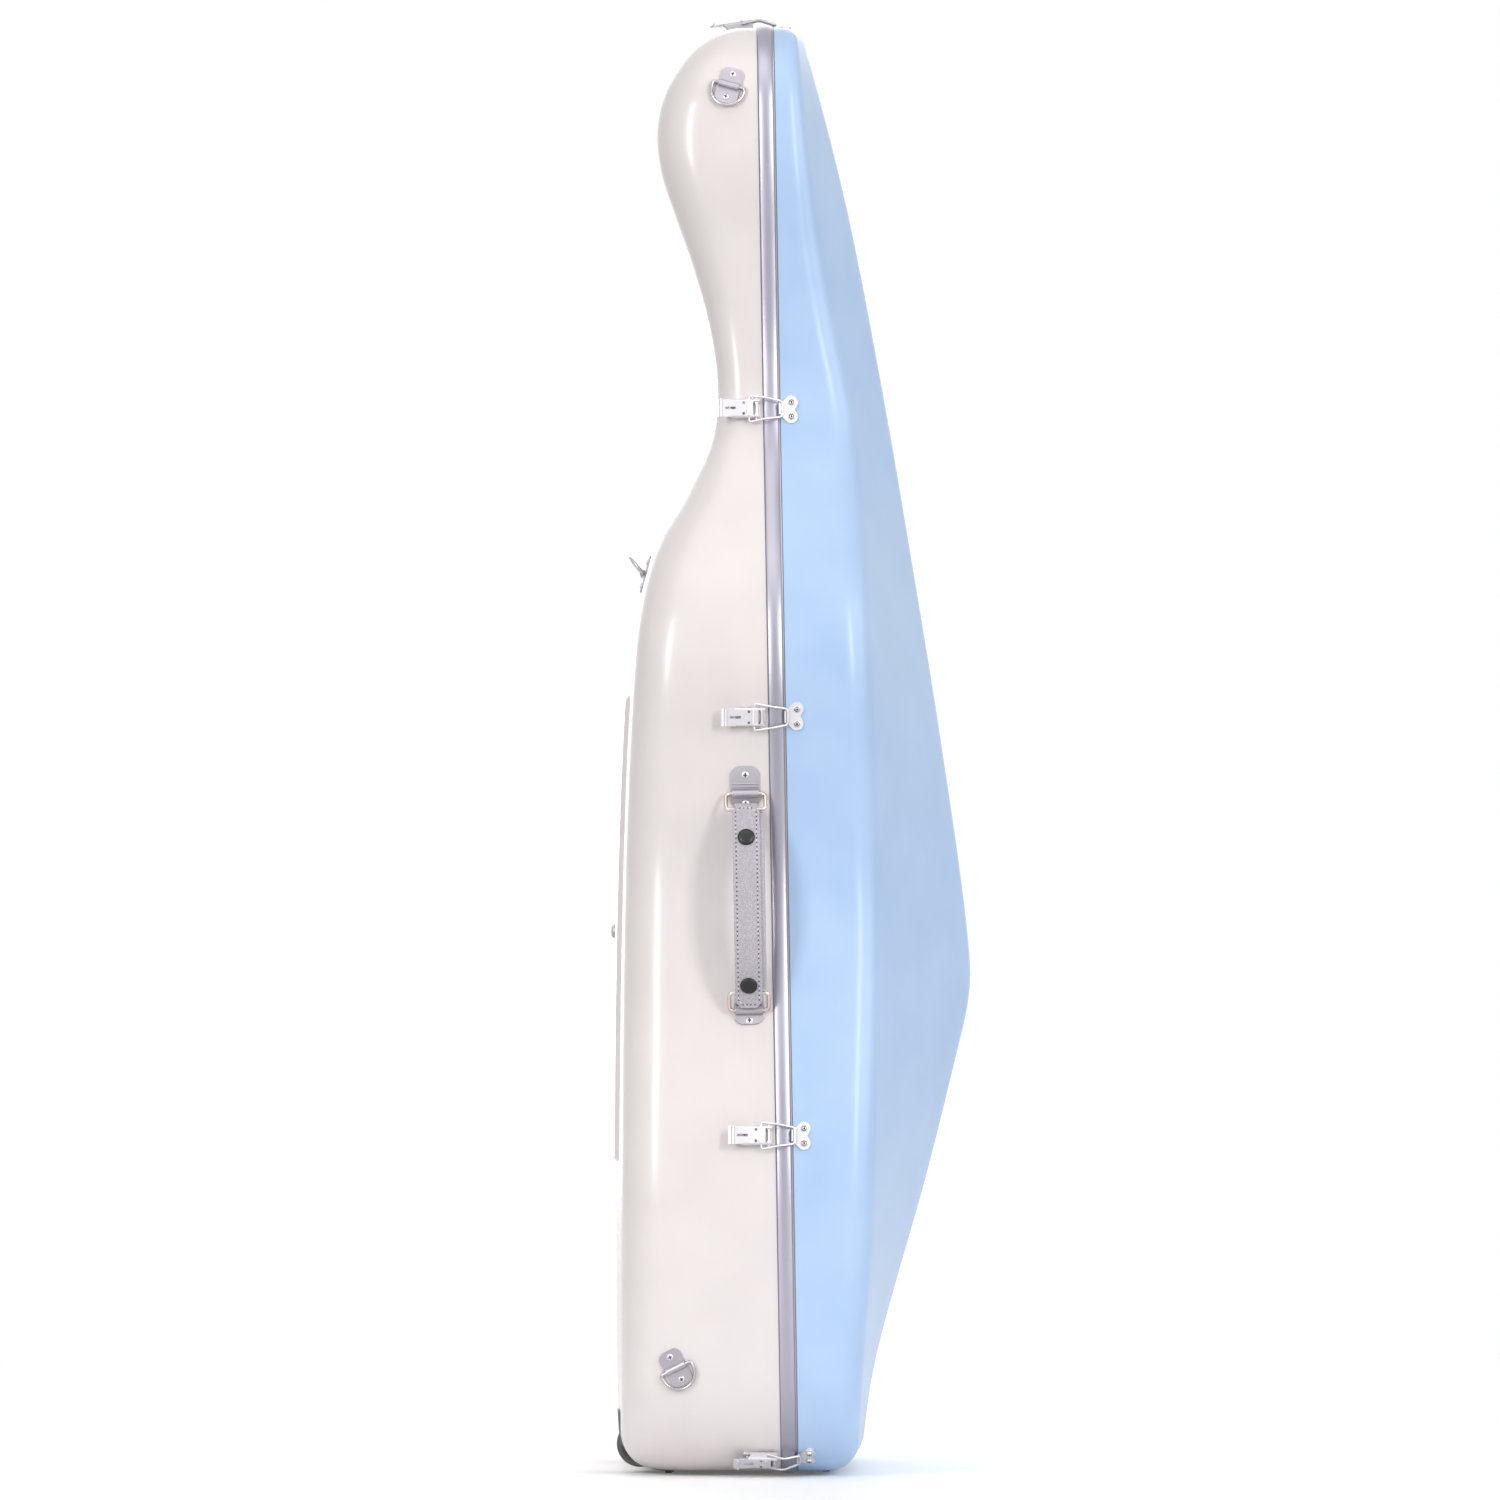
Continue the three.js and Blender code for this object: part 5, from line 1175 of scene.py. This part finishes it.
# hinges: leaves with rolled knuckles, all three on the lid's own axis
hinge = {
    "shares": {"lower": 0.1281, "middle": 0.2196, "upper": 0.5454}, "length": 46, "reach": 20, "top": 1.3,
    "foot": 2.7, "root": 4.4, "knuckle": 3.6, "pin": 1.5, "pinPast": 1.2, "axis": 7.2, "splits": (0, 0.28, 0.72, 1),
    "corner": 4.5, "screws": (-15, 0, 15), "screw": 2.7, "screwRow": 11.5, "gap": 0.4,
}


def hingeLeaf(side, depth):
    # depth is how far the leaf's block reaches down to the wall
    start = (rim["width"] if side < 0 else hinge["knuckle"]) + hinge["top"]
    axis, wide, top, radius = hinge["axis"], hinge["length"] / 2, hinge["top"], hinge["knuckle"]
    bed = roundedBox(start, start + hinge["reach"], -wide, wide, hinge["corner"], 6)
    parts = [platePiece("leaf", [(side * x, y) for x, y in bed], -depth, top, 0.3)]
    arm = [(start + 2 * top, 0.3), (start + top, hinge["foot"] + top), (radius * 0.9, axis), (0, axis),
           (0, axis - radius / 2), (radius, hinge["foot"]), (start, hinge["foot"]), (start, 0.3)]
    for first, last in [(0, 1), (2, 3)] if side < 0 else [(1, 2)]:
        low, high = hinge["splits"][first], hinge["splits"][last]
        length = (high - low) * hinge["length"] - hinge["gap"]
        middle = ((low + high) / 2 - 0.5) * hinge["length"]
        parts.append(pressedPiece("arm", [(side * x, z) for x, z in arm], length, middle, 0.25))
        parts.append(rodPiece("knuckle", radius, length, (0, middle, axis), 36, 0.4))
    parts += [screwPiece(hinge["screw"], (side * (start + hinge["screwRow"]), y, top)) for y in hinge["screws"]]
    if side < 0:
        parts.append(rodPiece("pin", hinge["pin"], hinge["length"] + hinge["pinPast"], (0, 0, axis), soft=0.35))
    return cleanUp(joined("hingeLeaf", parts), 0.001 * mm)


lidPivot, lidAxis = jointPlace("lid_opening")
hingeDown = -lidAxis
hingeAcross = (Vector((1, 0, 0)) - hingeDown * hingeDown.x).normalized()
hingeOut = hingeAcross.cross(hingeDown)
for name, share in hinge["shares"].items():
    rise = (share - hinge["shares"]["upper"]) * case["height"]
    origin = lidPivot - hingeOut * hinge["axis"] * mm + lidAxis * (rise / lidAxis.z)
    place = placeFrom(origin, hingeAcross, hingeDown, hingeOut)
    standOff = (origin.y - caseOrigin.y - sizeAt("width", share * case["height"])) / mm
    for side, body in ((-1, "back"), (1, "lid")):
        piece = hingeLeaf(side, hinge["root"] + max(standOff, 0) + 1)
        piece.data.transform(place)
        piece.name = f"{name}_hinge_{body}_leaf_fine"
        dress(piece, body, "satin_zinc", f"{name}_hinge_{body}_leaf")
print("hinges fitted")

# wheels, their corner housings and the feet
wheelShape = {
    "tyre": [(13.5, -8.2), (15.5, -9.6), (18.2, -10), (20.6, -9.1), (21.7, -7.4), (22, -5.4), (22, -2.2),
             (21.2, -1.7), (21.2, 1.7), (22, 2.2), (22, 5.4), (21.7, 7.4), (20.6, 9.1), (18.2, 10), (15.5, 9.6),
             (13.5, 8.2)],
    "hub": [(3.4, -11.5), (6.6, -11.5), (7, -11), (7.2, -8), (12.6, -6.6), (13.6, -8.4), (14.4, -8.4), (14.4, 8.4),
            (13.6, 8.4), (12.6, 6.6), (7.2, 8), (7, 11), (6.6, 11.5), (3.4, 11.5)],
    "sides": 64, "foot": (5.5, 3.2, 3.3), "housingEdge": 0.5,
}


def turnedPiece(name, profile, place, sides):
    # a profile of (radius, along) turned round the y axis
    rows = []
    for step in range(sides + 1):
        angle = 2 * math.pi * (step % sides) / sides
        rows.append([place + Vector((r * math.cos(angle), y, r * math.sin(angle))) * mm
                     for r, y in profile + profile[:1]])
    return smoothByAngle(gridPiece(name, rows, closed=True), 28)


def finishedCopy(node, bevel, body, finish):
    # a CAD node with its flat faces merged and its edges softened
    piece = nodeCopy(node, node + "_fine")
    editAll(piece)
    bpy.ops.mesh.dissolve_limited(angle_limit=math.radians(0.5))
    leaveEdit()
    dress(smoothByAngle(softened(piece, bevel)), body, finish, node)


for name in ("near", "far"):
    centre = jointPlace(f"{name}_wheel_spin")[0]
    tyre = turnedPiece(f"{name}_wheel_tyre", wheelShape["tyre"], centre, wheelShape["sides"])
    dress(tyre, f"{name}_wheel", "tyre_rubber", f"{name}_wheel")
    hub = turnedPiece(f"{name}_wheel_hub", wheelShape["hub"], centre, wheelShape["sides"])
    dress(hub, f"{name}_wheel", "wheel_plastic")
    finishedCopy(f"{name}_wheel_housing", wheelShape["housingEdge"], "back", "wheel_plastic")
    low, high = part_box(f"{name}_front_foot")
    wide, tip, tall = (value * mm for value in wheelShape["foot"])
    deselectAll()
    bpy.ops.mesh.primitive_cone_add(vertices=40, radius1=tip, radius2=wide, depth=tall,
                                    location=((low.x + high.x) / 2, (low.y + high.y) / 2, low.z + tall / 2))
    foot = softened(applyPlace(bpy.context.object), 0.7, 30, 3)
    foot.name = f"{name}_front_foot_fine"
    dress(foot, "lid", "black_rubber", f"{name}_front_foot")
print("wheels and feet fitted")

# raised centre of the back with the stud in its middle, and the bow clip
panel = {
    "from": 0.21, "to": 0.54, "wide": 0.396, "proud": 4.2 * mm, "buried": 1.6 * mm, "bevel": 7 * mm,
    "corner": 26 * mm, "thick": 1.2 * mm, "across": 48, "along": 90, "studAt": 0.3712, "stud": (6.6, 2.8),
    "clipEdge": 0.8,
}


def raisedPanel():
    low, high, wide = panel["from"] * case["height"], panel["to"] * case["height"], panel["wide"] * case["halfWidth"]
    corner, buried = panel["corner"], panel["buried"]
    rows = []
    for step in range(panel["along"] + 1):
        z = low + (high - low) * (0.5 - 0.5 * math.cos(math.pi * step / panel["along"]))
        row = []
        for column in range(panel["across"] + 1):
            y = wide * math.cos(math.pi * column / panel["across"])
            dy = max(abs(y) - wide + corner, 0)
            dz = max(abs(z - (low + high) / 2) - (high - low) / 2 + corner, 0)
            share = min(max((corner - math.hypot(dy, dz)) / panel["bevel"], 0), 1)
            lift = (panel["proud"] + buried) * share * share * (3 - 2 * share) - buried
            row.append(caseOrigin + backFace(z, y, lift))
        rows.append(row)
    return smoothByAngle(thickened(gridPiece("back_raised_panel", rows), panel["thick"]), 50)


dress(raisedPanel(), "back", "cream_shell")
z = panel["studAt"] * case["height"]
across = Vector((0, 0, 1)).cross(backNormal(z, 0)).normalized()
stud = rivetPiece("back_stud_fine", *panel["stud"], dimple=0.1, sides=40)
stud.data.transform(fittingFrame(caseOrigin + backFace(z, 0, panel["proud"]), across, backNormal(z, 0)))
dress(stud, "back", "satin_zinc", "back_stud")
finishedCopy("bow_clip", panel["clipEdge"], "bow_clip", "nickel_steel")
print("back finished")

# padded linings, neck cradle and strap
lining = {
    "inset": 4.8 * mm, "thick": 9 * mm, "backRim": 15.6 * mm, "lidRim": 11.3 * mm, "wave": 0.2 * mm,
    "waves": (Vector((0, 23, 61)), Vector((41, 77, -29))), "piping": (2.2, 4.4), "pipingPast": 1.4,
}
cushion = {"voxel": 4.5 * mm, "relax": (8, 0.6), "pressure": 4.0, "cap": 5 * mm, "frames": 20}


def plumped(piece):
    # skin over firm foam: remeshed, blown out a little by Cloth, each point held close to its start
    remesh = piece.modifiers.new("remesh", "REMESH")
    remesh.mode = "VOXEL"
    remesh.voxel_size = cushion["voxel"]
    relax = piece.modifiers.new("relax", "SMOOTH")
    relax.iterations, relax.factor = cushion["relax"]
    applyModifiers(piece)
    start = [vertex.co.copy() for vertex in piece.data.vertices]
    cloth = activate(piece).modifiers.new("cloth", "CLOTH")
    cloth.settings.use_pressure = True
    cloth.settings.uniform_pressure_force = cushion["pressure"]
    cloth.settings.effector_weights.gravity = 0
    for moment in range(1, cushion["frames"] + 1):
        bpy.context.scene.frame_set(moment)
    applyModifiers(piece)
    bpy.context.scene.frame_set(1)
    for vertex, place in zip(piece.data.vertices, start):
        step = vertex.co - place
        if step.length > cushion["cap"]:
            vertex.co = place + step * (cushion["cap"] / step.length)
    finer = piece.modifiers.new("finer", "SUBSURF")
    finer.levels = finer.render_levels = 1
    return smoothByAngle(applyModifiers(piece), 80)


def liningPiece(name, side, rimDepth):
    # outer and inner skin laid as closed rows, with a slow ripple as of foam under plush
    outer = skinRows(side, lining["inset"], rimDepth)
    inner = skinRows(side, lining["inset"] + lining["thick"], rimDepth)
    rows = [out + within[::-1] + out[:1] for out, within in zip(outer, inner)]
    ends = [inner[end] + inner[end][::-1] + inner[end][:1] for end in (0, -1)]
    piece = gridPiece(name, ends[:1] + rows + ends[1:], closed=True)
    for vertex, along in [(vertex, vertex.normal.copy()) for vertex in piece.data.vertices]:
        ripple = sum(math.sin(vertex.co.dot(wave)) for wave in lining["waves"])
        vertex.co += along * ripple * lining["wave"]
    return piece


def pipingPiece(name, rimDepth):
    # rounded edge that binds the lining along the rim
    depth = rimDepth / mm + math.copysign(lining["pipingPast"], rimDepth)
    middle = -(lining["inset"] + lining["thick"] / 2) / mm
    return rimPiece(name, arc((depth, middle), lining["piping"], 2 * math.pi, 14)[:-1])


backLining = cutBoxes(liningPiece("back_lining_padded", -1, lining["backRim"]), wheelBoxes(0))
dress(smoothByAngle(backLining, 50), "back", "plush", "back_lining")
lidLining = liningPiece("lid_lining_padded", 1, lining["lidRim"])
dress(smoothByAngle(lidLining, 50), "lid", "plush", "lid_lining")
dress(pipingPiece("back_lining_piping", lining["backRim"]), "back", "plush")
dress(pipingPiece("lid_lining_piping", -lining["lidRim"]), "lid", "plush")
cradle = nodeCopy("neck_cradle", "neck_cradle_padded")
dress(plumped(cradle), "back", "plush", "neck_cradle")

webbing = {"thick": 1.5 * mm, "ribs": 60, "columns": 12, "rib": 0.18 * mm, "bow": 0.6 * mm, "clear": 0.3 * mm}


def neckStrap():
    # woven strap held across the cradle, bowed out a little in its middle
    low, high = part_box("neck_strap")
    rows = []
    for step in range(webbing["ribs"] + 1):
        share = step / webbing["ribs"]
        y = low.y + (high.y - low.y) * share
        bow = webbing["bow"] * math.sin(math.pi * share) ** 2
        x = low.x + webbing["clear"] + bow + webbing["rib"] * (step % 2 - 0.5)
        rows.append([Vector((x, y, high.z + (low.z - high.z) * column / webbing["columns"]))
                     for column in range(webbing["columns"] + 1)])
    return softened(thickened(gridPiece("neck_strap_webbing", rows), webbing["thick"], 1), 0.3, 60)


strapPiece = neckStrap()
low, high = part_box("neck_strap")
dress(strapPiece, "back", "webbing", "neck_strap")
print("linings laid")

# studio: pale floor that fades into a white surround, and five soft lamps
studio = {
    "floor": 12, "fade": (0.9, 2.2), "floorColour": (246, 246, 247), "roughness": 0.7, "lift": 0.1,
    "surround": 0.38, "aim": Vector((0, 0, 0.7)),
    "lamps": {  # place, width and height, watts
        "left": ((-2.2, -3.1, 1.7), (0.7, 2.0), 54), "right": ((2.1, -3.1, 1.9), (0.7, 2.0), 54),
        "beside": ((3.3, -1.3, 1.8), (1.8, 2.0), 26), "above": ((-0.4, -1.2, 3.4), (2.4, 1.6), 14),
        "rear": ((-0.6, 3.1, 1.6), (3.0, 3.0), 62),
    },
}


def seenBy(tree, *kinds):
    # 1 for any of these kinds of ray
    rays = addNode(tree, "ShaderNodeLightPath").outputs
    seen = rays[kinds[0]]
    for kind in kinds[1:]:
        seen = mathNode(tree, "MAXIMUM", seen, rays[kind])
    return seen


bpy.ops.mesh.primitive_grid_add(x_subdivisions=8, y_subdivisions=8, size=studio["floor"])
floor = bpy.context.object
floor.name = "studioFloor"
floorFinish = bpy.data.materials.new("studioFloor")
floorFinish.use_nodes = True
tree = floorFinish.node_tree
shader = tree.nodes["Principled BSDF"]
shader.inputs["Base Color"].default_value = linear(*studio["floorColour"])
shader.inputs["Roughness"].default_value = studio["roughness"]
shader.inputs["Emission Color"].default_value = (1, 1, 1, 1)
seen = seenBy(tree, "Is Camera Ray", "Is Glossy Ray")
tree.links.new(mathNode(tree, "MULTIPLY", seen, studio["lift"]), shader.inputs["Emission Strength"])
white = addNode(tree, "ShaderNodeEmission", Strength=seen)
place = addNode(tree, "ShaderNodeTexCoord").outputs["Object"]
distance = addNode(tree, "ShaderNodeVectorMath", {"operation": "LENGTH"}, _0=place).outputs["Value"]
fade = mapRange(tree, distance, studio["fade"], kind="SMOOTHSTEP")
blend = addNode(tree, "ShaderNodeMixShader", _0=fade, _1=shader.outputs[0], _2=white.outputs[0])
tree.links.new(blend.outputs[0], tree.nodes["Material Output"].inputs["Surface"])
floor.data.materials.append(floorFinish)

world = bpy.data.worlds.new("studio")
bpy.context.scene.world = world
world.use_nodes = True
tree = world.node_tree
seen = seenBy(tree, "Is Camera Ray", "Is Transmission Ray", "Is Glossy Ray")
background = tree.nodes["Background"]
tree.links.new(mapRange(tree, seen, (0, 1), (studio["surround"], 1)), background.inputs["Strength"])
background.inputs["Color"].default_value = (1, 1, 1, 1)

for name, (place, size, watts) in studio["lamps"].items():
    light = bpy.data.lights.new(name + "Lamp", "AREA")
    light.shape = "RECTANGLE"
    light.size, light.size_y = size
    light.energy = watts
    stand = bpy.data.objects.new(name + "Lamp", light)
    bpy.context.scene.collection.objects.link(stand)
    stand.location = place
    stand.rotation_euler = (studio["aim"] - Vector(place)).to_track_quat("-Z", "Y").to_euler()
bpy.context.scene.view_settings.view_transform = "Standard"
print("studio lit")
